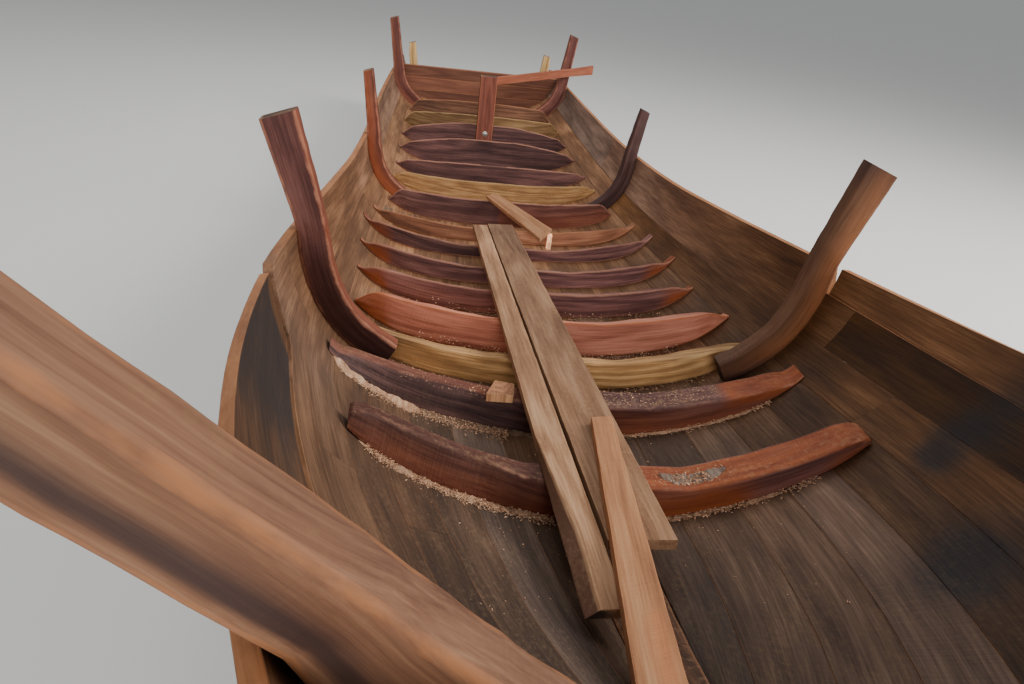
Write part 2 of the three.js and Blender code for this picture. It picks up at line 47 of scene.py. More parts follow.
pitch_down, heading, lean = (math.radians(a) for a in (28.364, 8.728, -7.306))
forward = Vector((
    math.sin(heading) * math.cos(pitch_down),
    math.cos(heading) * math.cos(pitch_down),
    -math.sin(pitch_down),
))
level_right = Vector((math.cos(heading), -math.sin(heading), 0))
level_down = forward.cross(level_right)
view_right = math.cos(lean) * level_right + math.sin(lean) * level_down
view_down = math.cos(lean) * level_down - math.sin(lean) * level_right
camera_data = bpy.data.cameras.new("bow_view")
camera_data.sensor_width = sensor_width_mm
camera_data.lens = focal_length_px * sensor_width_mm / photo_width_px
camera_data.clip_start = 0.02
camera_data.clip_end = 1000
camera = bpy.data.objects.new("bow_view", camera_data)
camera.matrix_world = (
    Matrix.Translation(camera_place)
    @ Matrix((view_right, -view_down, -forward)).transposed().to_4x4()
)
bpy.context.scene.collection.objects.link(camera)
bpy.context.scene.camera = camera


# Planking: seven carvel strakes a side and a wash strake that raises the bow, sawn
# from tropical hardwood 30 mm thick. Planks are edge-fastened and butted end to end,
# left bare, with saw marks, yard stains and sawdust still on them.
station_columns = (
    "foot_y", "foot_z", "rail_y", "rail_x", "rail_z", "low_x", "low_z", "high_x", "high_z",
)
station_rows = np.array([
    (-2.80, 0.670, -4.45, 0.042, 1.680, 1.00, 0.20, 1.00, 0.56),
    (-2.70, 0.642, -4.00, 0.262, 1.562, 0.34, 0.24, 0.74, 0.56),
    (-2.55, 0.600, -3.55, 0.470, 1.447, 0.36, 0.20, 0.80, 0.51),
    (-2.35, 0.546, -3.05, 0.655, 1.326, 0.42, 0.16, 0.84, 0.46),
    (-2.10, 0.486, -2.55, 0.777, 1.206, 0.47, 0.13, 0.87, 0.41),
    (-1.75, 0.416, -2.05, 0.850, 1.092, 0.50, 0.10, 0.90, 0.36),
    (-1.35, 0.360, -1.55, 0.885, 0.992, 0.54, 0.05, 0.97, 0.29),
    (-0.85, 0.302, -0.95, 0.889, 0.893, 0.60, 0.02, 1.00, 0.22),
    (-0.25, 0.250, -0.25, 0.877, 0.790, 0.64, 0.00, 1.03, 0.14),
    (0.45, 0.192, 0.45, 0.862, 0.700, 0.66, 0.00, 1.06, 0.07),
    (1.25, 0.146, 1.25, 0.857, 0.630, 0.64, 0.00, 1.00, 0.16),
    (2.05, 0.127, 2.05, 0.860, 0.586, 0.62, 0.00, 0.97, 0.22),
    (2.85, 0.136, 2.85, 0.853, 0.570, 0.61, 0.01, 0.96, 0.24),
    (3.65, 0.176, 3.65, 0.822, 0.576, 0.60, 0.02, 0.95, 0.26),
    (4.25, 0.220, 4.25, 0.778, 0.598, 0.59, 0.03, 0.94, 0.28),
    (4.60, 0.245, 4.60, 0.748, 0.614, 0.58, 0.04, 0.93, 0.30),
])
last_station = len(station_rows) - 1
keel_half_width = 0.090
stem_half_width = 0.042
girth_steps = np.linspace(0, 1, 33)
plank_thickness = 0.030


def station_value(column, s):
    """One column of the table of stations, smoothly joined, at any station number."""
    values = station_rows[:, station_columns.index(column)]
    before, after = 2 * values[0] - values[1], 2 * values[-1] - values[-2]
    values = np.concatenate([[before], values, [after]])
    at = np.clip(s, 0, last_station)
    i = np.minimum(np.floor(at).astype(int), last_station - 1)
    u = at - i
    a, b, c, d = values[i], values[i + 1], values[i + 2], values[i + 3]
    return b + 0.5 * u * (c - a + u * (2 * a - 5 * b + 4 * c - d + u * (3 * b - a - 3 * c + d)))


def foot_half_width(s):
    """Half the width between the lowest planks, from the stem's to the keel's."""
    taper = np.clip(s / 6, 0, 1)
    return stem_half_width + (keel_half_width - stem_half_width) * taper * (2 - taper)


def inner_face(s, t):
    """Point on the inside of the planking, t from the keel seam to the rail."""
    s, t = np.broadcast_arrays(np.asarray(s, float), np.asarray(t, float))
    half = foot_half_width(s)
    foot_y, foot_z = station_value("foot_y", s), station_value("foot_z", s)
    run = station_value("rail_y", s) - foot_y
    rise = station_value("rail_z", s) - foot_z
    spread = np.maximum(station_value("rail_x", s) - half, 0)
    low, high, top = 3 * t * (1 - t) ** 2, 3 * t * t * (1 - t), t ** 3
    return np.stack([
        half + spread * (low * station_value("low_x", s) + high * station_value("high_x", s) + top),
        foot_y + run * (low / 3 + high * 2 / 3 + top),
        foot_z + rise * (low * station_value("low_z", s) + high * station_value("high_z", s) + top),
    ], -1)


def hull_side(s, girth):
    """Points, outward directions and whole girths at parts of the girth, row by row."""
    s = np.asarray(s, float)
    line = inner_face(s[:, None], girth_steps[None, :])
    lengths = np.linalg.norm(np.diff(line, axis=1), axis=2).cumsum(1)
    lengths = np.concatenate([np.zeros((len(s), 1)), lengths], 1)
    t = np.array([
        np.interp(want * row[-1], row, girth_steps) for want, row in zip(girth, lengths)
    ])
    rows = s[:, None]
    along = inner_face(np.minimum(rows + 0.02, last_station), t)
    along = along - inner_face(np.maximum(rows - 0.02, 0), t)
    across = inner_face(rows, np.minimum(t + 0.01, 1)) - inner_face(rows, np.maximum(t - 0.01, 0))
    outward = np.cross(along, across)
    outward /= np.linalg.norm(outward, axis=-1, keepdims=True)
    return inner_face(rows, t), outward, lengths[:, -1]


def distance_along(line):
    """Length along a line of points, counted from its first one."""
    steps = np.linalg.norm(np.diff(line, axis=0), axis=1)
    return np.concatenate([[0], steps.cumsum()])


def waver(at, seed, size, lengths=(1.1, 0.43, 0.17)):
    """Slow hand-cut unevenness along a length, at most about size either way."""
    draw = np.random.default_rng(seed)
    total = np.zeros_like(np.asarray(at, float))
    for length in lengths:
        total += np.sin(2 * math.pi * (at / length + draw.random())) * draw.uniform(0.4, 1)
    return total * size / len(lengths)


mask_names = ("tone", "edge", "fresh", "stain", "saw", "grey")


def set_piece(name, points, faces, finish_of, finishes, grain, masks, nodes, sharp_angle):
    """Mesh object with its wood places and masks, riding on the hull."""
    mesh = bpy.data.meshes.new(name)
    mesh.from_pydata(np.asarray(points).tolist(), [], faces)
    for finish in finishes:
        mesh.materials.append(finish)
    mesh.polygons.foreach_set("material_index", finish_of)
    solid = bmesh.new()
    solid.from_mesh(mesh)
    bmesh.ops.recalc_face_normals(solid, faces=solid.faces)
    solid.to_mesh(mesh)
    solid.free()
    at = mesh.attributes.new("grain_at", "FLOAT_VECTOR", "POINT")
    at.data.foreach_set("vector", np.asarray(grain, float).ravel())
    for mask in mask_names:
        values = mesh.attributes.new(mask, "FLOAT", "POINT")
        values.data.foreach_set("value", masks[mask])
    mesh.polygons.foreach_set("use_smooth", [True] * len(mesh.polygons))
    mesh.set_sharp_from_angle(angle=math.radians(sharp_angle))
    mesh.update()
    piece = bpy.data.objects.new(name, mesh)
    bpy.context.scene.collection.objects.link(piece)
    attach(piece, "root")
    if nodes:
        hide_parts(*nodes)


def make_piece(name, runs, finishes, slot, *nodes, sharp_angle=38):
    """One piece from runs of closed rings. Each run holds rings, the place of each
    point in its wood (grain) and masks; the ends of a run are closed with flat faces."""
    points, faces, finish_of, grain = [], [], [], []
    masks = {mask: [] for mask in mask_names}
    offset = 0
    for run in runs:
        rings = np.asarray(run["rings"], float)
        count, width = rings.shape[:2]
        points.append(rings.reshape(-1, 3))
        grain.append(np.asarray(run["grain"], float).reshape(-1, 3))
        for mask in mask_names:
            values = np.broadcast_to(run.get(mask, 0.0), (count, width))
            masks[mask].append(np.array(values, float).ravel())
        for r in range(count - 1):
            a = offset + r * width
            for k in range(width):
                j = (k + 1) % width
                faces.append((a + k, a + j, a + width + j, a + width + k))
                finish_of.append(0)
        last = offset + (count - 1) * width
        faces.append(tuple(range(offset + width - 1, offset - 1, -1)))
        faces.append(tuple(range(last, last + width)))
        finish_of += [len(finishes) - 1] * 2
        offset += count * width
    masks = {mask: np.concatenate(values) for mask, values in masks.items()}
    set_piece(name, np.concatenate(points), faces, finish_of, finishes,
              np.concatenate(grain), masks, nodes, sharp_angle)


def tint(red, green, blue):
    """Shader colour from the 0 to 255 values that a painter's card gives."""
    card = np.array([red, green, blue]) / 255
    light = np.where(card <= 0.04045, card / 12.92, ((card + 0.055) / 1.055) ** 2.4)
    return (*light, 1.0)


def add_node(tree, kind, **settings):
    node = tree.nodes.new("ShaderNode" + kind)
    for key, value in settings.items():
        setattr(node, key, value)
    return node


def new_group(name, inputs, outputs):
    """Empty node group with its end nodes. Inputs and outputs are rows of name,
    socket type and, for inputs, the value used where nothing is joined."""
    group = bpy.data.node_groups.new(name, "ShaderNodeTree")
    for label, kind, value in inputs:
        socket = group.interface.new_socket(label, in_out="INPUT", socket_type=kind)
        if value is not None:
            socket.default_value = value
    for label, kind in outputs:
        group.interface.new_socket(label, in_out="OUTPUT", socket_type=kind)
    start = group.nodes.new("NodeGroupInput")
    end = group.nodes.new("NodeGroupOutput")
    return group, start.outputs, end.inputs


def calc(tree, operation, *values, clamp=False):
    """Math node on sockets or plain numbers; gives back its output socket."""
    node = add_node(tree, "Math", operation=operation, use_clamp=clamp)
    for socket, value in zip(node.inputs, values):
        if isinstance(value, (int, float)):
            socket.default_value = value
        else:
            tree.links.new(value, socket)
    return node.outputs[0]


def noise_at(tree, place, stretch, detail, roughness=0.55, distortion=0.0):
    """Noise whose cells are 1 / stretch metres long, wide and deep."""
    scaled = add_node(tree, "VectorMath", operation="MULTIPLY")
    tree.links.new(place, scaled.inputs[0])
    scaled.inputs[1].default_value = stretch
    noise = add_node(tree, "TexNoise", noise_dimensions="3D")
    tree.links.new(scaled.outputs[0], noise.inputs["Vector"])
    noise.inputs["Scale"].default_value = 1.0
    noise.inputs["Detail"].default_value = detail
    noise.inputs["Roughness"].default_value = roughness
    noise.inputs["Distortion"].default_value = distortion
    return noise.outputs["Fac"]


def ramp(tree, value, low, high, low_out=0.0, high_out=1.0, smooth=True):
    """Map Range node from low..high to low_out..high_out."""
    node = add_node(tree, "MapRange", interpolation_type="SMOOTHSTEP" if smooth else "LINEAR")
    tree.links.new(value, node.inputs["Value"])
    for socket, number in zip(node.inputs[1:5], (low, high, low_out, high_out)):
        socket.default_value = number
    return node.outputs[0]


# Sawn wood: growth rings as nested contours, long fibres, blotches, wide clouds of
# lighter and darker wood, and saw marks across.
sawn_wood, wood_in, wood_out = new_group(
    "sawn_wood",
    [("Grain At", "NodeSocketVector", None), ("Ring Count", "NodeSocketFloat", 9.0),
     ("Saw Marks", "NodeSocketFloat", 0.4)],
    [("Figure", "NodeSocketFloat"), ("Fibres", "NodeSocketFloat"),
     ("Blotches", "NodeSocketFloat"), ("Clouds", "NodeSocketFloat"),
     ("Height", "NodeSocketFloat")],
)
contour = noise_at(sawn_wood, wood_in["Grain At"], (0.7, 7, 7), 1.5, 0.4)
rings = calc(sawn_wood, "SINE", calc(sawn_wood, "MULTIPLY", calc(
    sawn_wood, "MULTIPLY", contour, wood_in["Ring Count"]), 2 * math.pi))
rings = ramp(sawn_wood, rings, -1.0, 0.8, smooth=False)
fibres = noise_at(sawn_wood, wood_in["Grain At"], (5, 150, 150), 4, 0.62)
fibres = ramp(sawn_wood, fibres, 0.3, 0.72, smooth=False)
blotches = noise_at(sawn_wood, wood_in["Grain At"], (1.6, 6.5, 6.5), 4, 0.6)
blotches = ramp(sawn_wood, blotches, 0.3, 0.7, smooth=False)
clouds = noise_at(sawn_wood, wood_in["Grain At"], (1.0, 2.6, 2.6), 2, 0.5)
clouds = ramp(sawn_wood, clouds, 0.3, 0.7, smooth=False)
slant = add_node(sawn_wood, "Mapping")
slant.inputs["Rotation"].default_value = (0, 0, 0.21)
sawn_wood.links.new(wood_in["Grain At"], slant.inputs["Vector"])
saw_lines = noise_at(sawn_wood, slant.outputs[0], (130, 3.2, 3.2), 2, 0.5, 0.35)
saw_lines = ramp(sawn_wood, saw_lines, 0.32, 0.68)
saw_lines = calc(sawn_wood, "MULTIPLY", saw_lines, wood_in["Saw Marks"])
height = calc(sawn_wood, "ADD", calc(sawn_wood, "MULTIPLY", fibres, 0.45), saw_lines)
height = calc(sawn_wood, "MULTIPLY_ADD", rings, 0.15, height)
for label, value in (
    ("Figure", rings), ("Fibres", fibres), ("Blotches", blotches), ("Clouds", clouds),
    ("Height", height),
):
    sawn_wood.links.new(value, wood_out[label])

# Yard marks: broken-up masks for worn arrises, fresh cuts, stains and settled dust.
yard_marks, marks_in, marks_out = new_group(
    "yard_marks",
    [("Grain At", "NodeSocketVector", None), ("Edge", "NodeSocketFloat", 0.0),
     ("Fresh", "NodeSocketFloat", 0.0), ("Stain", "NodeSocketFloat", 0.0)],
    [("Worn", "NodeSocketFloat"), ("Cut", "NodeSocketFloat"),
     ("Stained", "NodeSocketFloat"), ("Dust", "NodeSocketFloat")],
)
nicks = noise_at(yard_marks, marks_in["Grain At"], (16, 40, 40), 3, 0.6)
patches = noise_at(yard_marks, marks_in["Grain At"], (5, 14, 14), 3, 0.6)
worn = calc(yard_marks, "ADD", marks_in["Edge"], calc(yard_marks, "SUBTRACT", nicks, 0.5))
yard_marks.links.new(ramp(yard_marks, worn, 0.55, 0.95), marks_out["Worn"])
broken = calc(yard_marks, "MULTIPLY_ADD", patches, 1.5, 0.25)
cut = calc(yard_marks, "MULTIPLY", broken, marks_in["Fresh"])
yard_marks.links.new(ramp(yard_marks, cut, 0.05, 0.95, smooth=False), marks_out["Cut"])
stained = calc(yard_marks, "MULTIPLY", broken, marks_in["Stain"])
yard_marks.links.new(ramp(yard_marks, stained, 0.05, 0.95), marks_out["Stained"])
facing = add_node(yard_marks, "NewGeometry")
split = add_node(yard_marks, "SeparateXYZ")
yard_marks.links.new(facing.outputs["Normal"], split.inputs[0])
settled = ramp(yard_marks, split.outputs["Z"], 0.35, 0.95)
grit = noise_at(yard_marks, marks_in["Grain At"], (60, 75, 75), 4, 0.7)
grit = ramp(yard_marks, calc(yard_marks, "MULTIPLY_ADD", patches, 0.5, grit), 0.72, 0.98)
yard_marks.links.new(calc(yard_marks, "MULTIPLY", settled, grit), marks_out["Dust"])


def wood_finish(name, tints, fresh_tints, dust_share, ring_count, stain_tint=(38, 37, 38),
                saw_marks=0.4, roughness=0.68, relief_mm=0.9, tone_reach=6.0,
                figure_share=0.24, cloud_reach=0.2, worn_share=0.75, worn_tint=None):
    """Bare wood: three tints from the darkest grain to the palest, two for fresh cuts
    and, where it is its own, one for worn arrises."""
    finish = bpy.data.materials.new(name)
    finish.use_nodes = True
    tree = finish.node_tree
    surface = tree.nodes["Principled BSDF"]

    def mask(label):
        return add_node(tree, "Attribute", attribute_name=label).outputs["Fac"]

    grain = add_node(tree, "Attribute", attribute_name="grain_at").outputs["Vector"]
    wood = add_node(tree, "Group", node_tree=sawn_wood)
    wood.inputs["Ring Count"].default_value = ring_count
    tree.links.new(grain, wood.inputs["Grain At"])
    tree.links.new(calc(tree, "MULTIPLY_ADD", mask("saw"), 1.0, saw_marks),
                   wood.inputs["Saw Marks"])
    marks = add_node(tree, "Group", node_tree=yard_marks)
    tree.links.new(grain, marks.inputs["Grain At"])
    for label in ("Edge", "Fresh", "Stain"):
        tree.links.new(mask(label.lower()), marks.inputs[label])

    fibre_share = 0.42
    blotch_share = 1 - fibre_share - figure_share
    shade = calc(tree, "MULTIPLY", wood.outputs["Fibres"], fibre_share)
    shade = calc(tree, "MULTIPLY_ADD", wood.outputs["Figure"], figure_share, shade)
    shade = calc(tree, "MULTIPLY_ADD", wood.outputs["Blotches"], blotch_share, shade)
    clouds = calc(tree, "MULTIPLY_ADD", wood.outputs["Clouds"], cloud_reach, -cloud_reach / 2)
    lift = calc(tree, "ADD", calc(tree, "SUBTRACT", mask("tone"), 0.5), clouds)
    lift = calc(tree, "POWER", tone_reach, lift)

    def coloured(value, cards):
        node = add_node(tree, "ValToRGB")
        elements = node.color_ramp.elements
        while len(elements) < len(cards):
            elements.new(0.5)
        for element, (place, card) in zip(elements, cards):
            element.position = place
            element.color = tint(*card)
        tree.links.new(value, node.inputs["Fac"])
        return node.outputs["Color"]

    def laid_over(under, over, share):
        node = add_node(tree, "Mix", data_type="RGBA")
        tree.links.new(under, node.inputs[6])
        if isinstance(over, tuple):
            node.inputs[7].default_value = tint(*over)
        else:
            tree.links.new(over, node.inputs[7])
        tree.links.new(share, node.inputs[0])
        return node.outputs[2]

    deep, middle, pale = tints
    colour = coloured(shade, [(0.08, deep), (0.5, middle), (0.92, pale)])
    toned = add_node(tree, "VectorMath", operation="SCALE")
    tree.links.new(colour, toned.inputs[0])
    tree.links.new(lift, toned.inputs["Scale"])
    aged = add_node(tree, "HueSaturation")
    tree.links.new(toned.outputs[0], aged.inputs["Color"])
    tree.links.new(calc(tree, "MULTIPLY_ADD", mask("grey"), -0.6, 1.0),
                   aged.inputs["Saturation"])
    colour = aged.outputs["Color"]
    fresh = coloured(shade, [(0.1, fresh_tints[0]), (0.8, fresh_tints[1])])
    colour = laid_over(colour, fresh, marks.outputs["Cut"])
    colour = laid_over(colour, worn_tint or fresh_tints[1],
                       calc(tree, "MULTIPLY", marks.outputs["Worn"], worn_share))
    stain_share = 0.85
    colour = laid_over(colour, stain_tint,
                       calc(tree, "MULTIPLY", marks.outputs["Stained"], stain_share))
    dust_tint = (196, 162, 124)
    colour = laid_over(colour, dust_tint, calc(tree, "MULTIPLY", marks.outputs["Dust"], dust_share))
    tree.links.new(colour, surface.inputs["Base Color"])
    rough = calc(tree, "MULTIPLY_ADD", wood.outputs["Fibres"], -0.14, roughness + 0.07)
    rough = calc(tree, "MULTIPLY_ADD", marks.outputs["Dust"], 0.2, rough, clamp=True)
    tree.links.new(rough, surface.inputs["Roughness"])
    surface.inputs["Specular IOR Level"].default_value = 0.35
    relief = add_node(tree, "Bump")
    relief.inputs["Strength"].default_value = 0.6
    relief.inputs["Distance"].default_value = relief_mm / 1000
    tree.links.new(wood.outputs["Height"], relief.inputs["Height"])
    tree.links.new(relief.outputs["Normal"], surface.inputs["Normal"])
    return finish


plank_wood = wood_finish(
    "plank_wood", [(56, 33, 18), (92, 60, 34), (128, 91, 60)],
    [(140, 82, 44), (186, 124, 78)], 0.1, 5, stain_tint=(37, 35, 36), saw_marks=0.25,
    figure_share=0.16, cloud_reach=0.34, worn_share=0.2)
end_grain = wood_finish(
    "end_grain", [(64, 40, 26), (96, 62, 40), (128, 88, 60)],
    [(130, 84, 52), (168, 122, 82)], 0.1, 14, saw_marks=0.8)

seam_girths = (0, 0.12, 0.27, 0.4, 0.525, 0.648, 0.77, 1)
# Rows of station and depth below the rail: how far the seams drop towards the bow to
# make room for the deep left wash plank, which stops short; the right one runs on.
seam_drop = {-1: ((0, 2, 3.65, 4.45, 5.4), (0.190, 0.190, 0.135, 0.072, 0)), 1: ((0,), (0,))}
wash_depths = {
    -1: ((0, 2, 3.65, 4.45, 5, 5.25, 5.4, 5.5),
         (0.210, 0.290, 0.287, 0.237, 0.208, 0.190, 0.130, 0.045)),
    1: ((0, 2, 3.5, 4.5, 5.6, 6.4), (0.190, 0.180, 0.150, 0.115, 0.105, 0.098)),
}
wash_end_step = 0.1
wash_set_out = 0.009
wash_thickness = {-1: 0.024, 1: 0.030}
wash_top_drop = {-1: 0.016, 1: 0.0}
seam_half_gap = 0.0001
arris = 0.0013
arris_support = 0.004
saw_waver = 0.0008
uneven_set = 0.0010
butt_half_gap = 0.0005
butt_shift_right = 0.8
station_pitch = 0.085
plank_ends = {
    1: (4.9, 9.7), 2: (7.2, 11.8), 3: (5.7, 10.4), 4: (3.9, 8.5, 12.9),
    5: (6.5, 11.2), 6: (4.3, 9.3, 13.4), 7: (6.05, 10.8),
}
# Tone of each plank by strake, side and number from the bow, and how grey it has gone.
# The light tone of plank (2, -1, 0) is painted light over the near left rib's shadow.
plank_tones = {
    (7, 1, 0): -0.04, (6, 1, 0): 0.46, (5, 1, 0): 0.36, (4, 1, 0): 0.86, (3, 1, 0): 0.62,
    (2, 1, 0): 0.44, (1, 1, 0): 0.42,
    (7, 1, 1): 0.56, (6, 1, 1): 0.50, (5, 1, 1): 0.48, (4, 1, 1): 0.48, (3, 1, 1): 0.46,
    (7, 1, 2): 0.42, (6, 1, 2): 0.50, (5, 1, 2): 0.50,
    (7, -1, 0): 0.54, (6, -1, 0): 0.50, (5, -1, 0): 0.40, (4, -1, 0): 0.18,
    (3, -1, 0): 0.17, (2, -1, 0): 0.56, (1, -1, 0): 0.42,
    (7, -1, 1): 0.50, (6, -1, 1): 0.38, (5, -1, 1): 0.48, (4, -1, 1): 0.40,
}
plank_greys = {
    (7, 1, 0): -0.35, (6, 1, 0): -0.08, (5, 1, 0): 0.0, (7, 1, 1): -0.08, (6, 1, 1): -0.08,
    (4, 1, 0): 0.42, (3, 1, 0): 0.3, (2, 1, 0): 0.3, (1, 1, 0): 0.4,
    (1, -1, 0): 0.3, (2, -1, 0): 0.5, (3, -1, 0): 0.2,
}
# How the planking of each side goes from painted shade at the bow to lighter aft: station, tone.
bow_shade_and_paling_aft = {
    -1: ((2.6, 3.9, 5.3, 6.2, 8.5, 12.0), (-0.22, 0.0, 0.02, 0.20, 0.42, 0.42)),
    1: ((2.6, 4.0, 5.5, 7.3, 9.4, 12.0), (-0.24, 0.0, 0.0, 0.10, 0.40, 0.44)),
}
# The same for single planks whose own wood changes along them.
shade_along = {
    (7, 1, 0): ((4.9, 6.05), (0, 0.26)),
    (7, 1, 1): ((6.6, 7.4, 7.9, 8.6, 9.3), (0, 0.01, 0.13, 0.24, 0)),
    (6, 1, 1): ((5.4, 7.2, 8.6, 10.0), (0, -0.36, -0.22, -0.10)),
    (5, 1, 1): ((5.6, 7.2, 8.6), (0, -0.16, 0)),
    (6, -1, 1): ((4.3, 4.8, 5.8, 7.0), (0.03, 0.09, 0.16, 0)),
    (7, -1, 0): ((4.2, 5.0, 5.6, 6.05), (0, 0.12, 0.14, 0.05)),
}
# How weathering takes the colour out of the upper strakes: station, grey.
greying_aft = {
    (7, 1): ((6.5, 9.5), (0, 0.45)), (7, -1): ((4.4, 5.4, 6.4, 8, 12), (0, 0.2, 0, 0, 0.25)),
    (6, -1): ((4.4, 5.4, 6.4), (0, 0.2, 0)),
}
# Saw ripple of the planks with curly grain, and dark spots: centre, radius and strength.
curly_planks = {(4, 1, 0): 0.9, (2, 1, 0): 0.3, (4, -1, 1): 0.4}
# The last spot is painted shadow between the first two floor timbers; the others are dirt.
dirt_and_shadow_spots = [((0.72, -2.23, 0.88), 0.085, 1.0), ((0.56, -2.58, 0.87), 0.13, 1.0),
           ((0.83, -2.3, 1.02), 0.13, 0.7), ((0.41, -1.78, 0.49), 0.16, 0.4)]
# Values for the eighteen points round a plank, nine up its inside and nine down its outside.
inside_smoke = np.array([0.5, 1, 1, 1, 1, 1, 0.9, 0.5, 0.2] + [0] * 9)
up_the_plank = np.array([0, 0, 0, 0.3, 0.5, 0.7, 1, 1, 1] + [0] * 9)
at_seam = np.array([1, 1, 0, 0, 0, 0, 0, 1, 1] * 2)
top_face = np.isin(np.arange(18), (8, 9)).astype(float)
# Painted shade in the seams: how much darker the planks are along them on each side.
painted_seam_shade = {-1: 0.12, 1: 0.3}
rail_top_fresh = 0.8


def seam_line(number, side):
    """Girth of one seam between the strakes, as a rule of station and whole girth."""
    return lambda s, whole: seam_girths[number] * (1 - np.interp(s, *seam_drop[side]) / whole)


def upper_edge(side):
    """Top of strake 7: under the wash plank, and behind its end up at the rail."""
    stations, depths = wash_depths[side]

    def rule(s, whole):
        under = np.clip(1 - (s - stations[-1]) / wash_end_step, 0, 1)
        return 1 - np.interp(s, stations, depths) * under / whole
    return rule


def plank_run(s, low, high, side, seed, tone, saw, set_out=0.0, thickness=plank_thickness):
    """One plank between two seams, inner face first, then round the outer face."""
    _, _, whole = hull_side(s, np.zeros((len(s), 1)))
    low, high = low(s, whole) * whole, high(s, whole) * whole
    width = high - low
    gap = seam_half_gap
    arris_end = gap + arris
    arris_guard = arris_end + arris_support
    across = np.stack([
        low + gap, low + arris_end, low + arris_guard, low + width * 0.3, low + width * 0.5,
        low + width * 0.7, high - arris_guard, high - arris_end, high - gap,
    ], 1)
    inner, outward, _ = hull_side(s, across / whole[:, None])
    distance = distance_along(inner[:, 4])
    depth = np.array([arris, 0, 0, 0, 0, 0, 0, 0, arris]) + np.zeros_like(across)
    rough = np.stack([
        waver(distance, seed + k, saw_waver, (0.9, 0.31, 0.19)) for k in range(9)], 1)
    proud = np.random.default_rng(seed).uniform(0, uneven_set)
    depth = depth + np.abs(rough) + set_out + proud
    back = thickness + 2 * set_out - depth
    rings = np.concatenate([
        inner + outward * depth[..., None], (inner + outward * back[..., None])[:, ::-1],
    ], 1) * (side, 1, 1)
    place = np.random.default_rng(seed).uniform(0, 60, 3)
    both = np.concatenate([across - low[:, None], (across - low[:, None])[:, ::-1]], 1)
    deep = np.concatenate([depth, back[:, ::-1]], 1)
    grain = np.stack([np.broadcast_to(distance[:, None], both.shape), both, deep], -1) + place
    stain = np.zeros(both.shape)
    # The spots' dirt and painted shadow go into the stain mask.
    for centre, radius, strength in dirt_and_shadow_spots:
        away = np.linalg.norm(rings - np.array(centre), axis=-1)
        stain += strength * np.exp(-(away / radius) ** 2)
    # Seam edges are worn pale and darkened with painted seam shade.
    return {"rings": rings, "grain": grain, "edge": at_seam * 0.9, "stain": stain, "saw": saw,
            "tone": tone - at_seam * painted_seam_shade[side]}


def dress_rail_strake(run, s, side):
    """Bare top edge; on the left also the pale ledge below the wash plank, a painted highlight, and
    its bare end.
    """
    if side > 0:
        run["fresh"] = rail_top_fresh * top_face
        return
    # Painted highlight along the top face of the ledge; elsewhere the top face is a little darker.
    ledge_highlight = np.interp(s, (2.3, 2.7, 5.0, 5.2), (0, 1, 1, 0))[:, None]
    bare_end = np.interp(s, (5.1, 5.7, 6.6), (0, 0.26, 0))[:, None]
    run["tone"] = run["tone"] + (0.7 * ledge_highlight - 0.1) * top_face + bare_end
    run["fresh"] = rail_top_fresh * top_face * np.clip(s - 5.5, 0, 1)[:, None]


for number in range(1, 8):
    for side, side_name in ((-1, "left"), (1, "right")):
        ends = [0, *plank_ends[number], last_station]
        if side > 0 and number != 7:
            ends[1:-1] = [end + butt_shift_right for end in ends[1:-1]]
        runs = []
        for index, (start, end) in enumerate(zip(ends, ends[1:])):
            plank = (number, side, index)
            seed = number * 40 + index * 7 + (3 if side > 0 else 0)
            usual = np.random.default_rng(seed).uniform(0.42, 0.6)
            tone = plank_tones.get(plank, usual)
            if index > 0:
                start += butt_half_gap
            if index < len(ends) - 2:
                end -= butt_half_gap
            s = np.linspace(start, end, max(int((end - start) / station_pitch), 6))
            if number == 7:
                step = wash_depths[side][0][-1] + np.array([0, wash_end_step])
                s = np.sort(np.concatenate([s, step[(step > start) & (step < end)]]))
            top = upper_edge(side) if number == 7 else seam_line(number, side)
            # Painted shade towards the bow, and lighter planking aft.
            tone = (tone + np.interp(s, *bow_shade_and_paling_aft[side]))[:, None]
            if plank in shade_along:
                tone = tone + np.interp(s, *shade_along[plank])[:, None]
            run = plank_run(s, seam_line(number - 1, side), top, side, seed, tone,
                            curly_planks.get(plank, 0.0))
            run["grey"] = plank_greys.get(plank, 0.1)
            if (number, side) in greying_aft:
                run["grey"] = run["grey"] + np.interp(s, *greying_aft[number, side])[:, None]
            if number == 7:
                dress_rail_strake(run, s, side)
            runs.append(run)
        make_piece(f"planks_{number}_{side_name}", runs, [plank_wood, end_grain],
                   "planking", f"strake_{number}_{side_name}")

wash_tone = {-1: 0.50, 1: 0.80}
wash_top_fresh = {-1: 0.75, 1: 1.0}
for side, side_name in ((-1, "left"), (1, "right")):
    s = np.linspace(0, wash_depths[side][0][-1], 90)
    run = plank_run(s, upper_edge(side), lambda s, whole: 1 - wash_top_drop[side] / whole,
                    side, 400 + side, wash_tone[side], 0.0, wash_set_out, wash_thickness[side])
    run["fresh"] = top_face * wash_top_fresh[side]
    if side < 0:
        smoke_end = 5.15 + 0.35 * up_the_plank
        smoke = np.interp(s, (3.4, 4.0, 4.5), (0.15, 0.6, 1))[:, None]
        smoke = smoke * np.clip((smoke_end - s[:, None]) / 0.14, 0, 1)
        run["stain"] = run["stain"] + smoke * inside_smoke
    make_piece(f"wash_plank_{side_name}", [run], [plank_wood, end_grain],
               "planking", f"wash_strake_{side_name}")


# Keel and stem: heavy baulks of red hardwood hewn square with an adze. The keel is
# broad and flat underneath; the stem is scarfed on at the forefoot and rakes forward.
keel_front_station = 2
keel_flat_from_y, keel_flat_to_y = -0.5, 3.9
forefoot_depth, stern_keel_depth = 0.105, 0.095
stem_inner_depth, stem_outer_depth = 0.070, 0.075
stem_head_rise = 0.1365
stern_y = station_rows[-1, 0]
seam_clearance = 0.0005
# A rounded arris: how far its middle sits back from the sharp corner, as a share of the
# cuts on either side of it, and the most of a side that one cut may take.
arris_pull = 0.28
most_rounded = 0.3


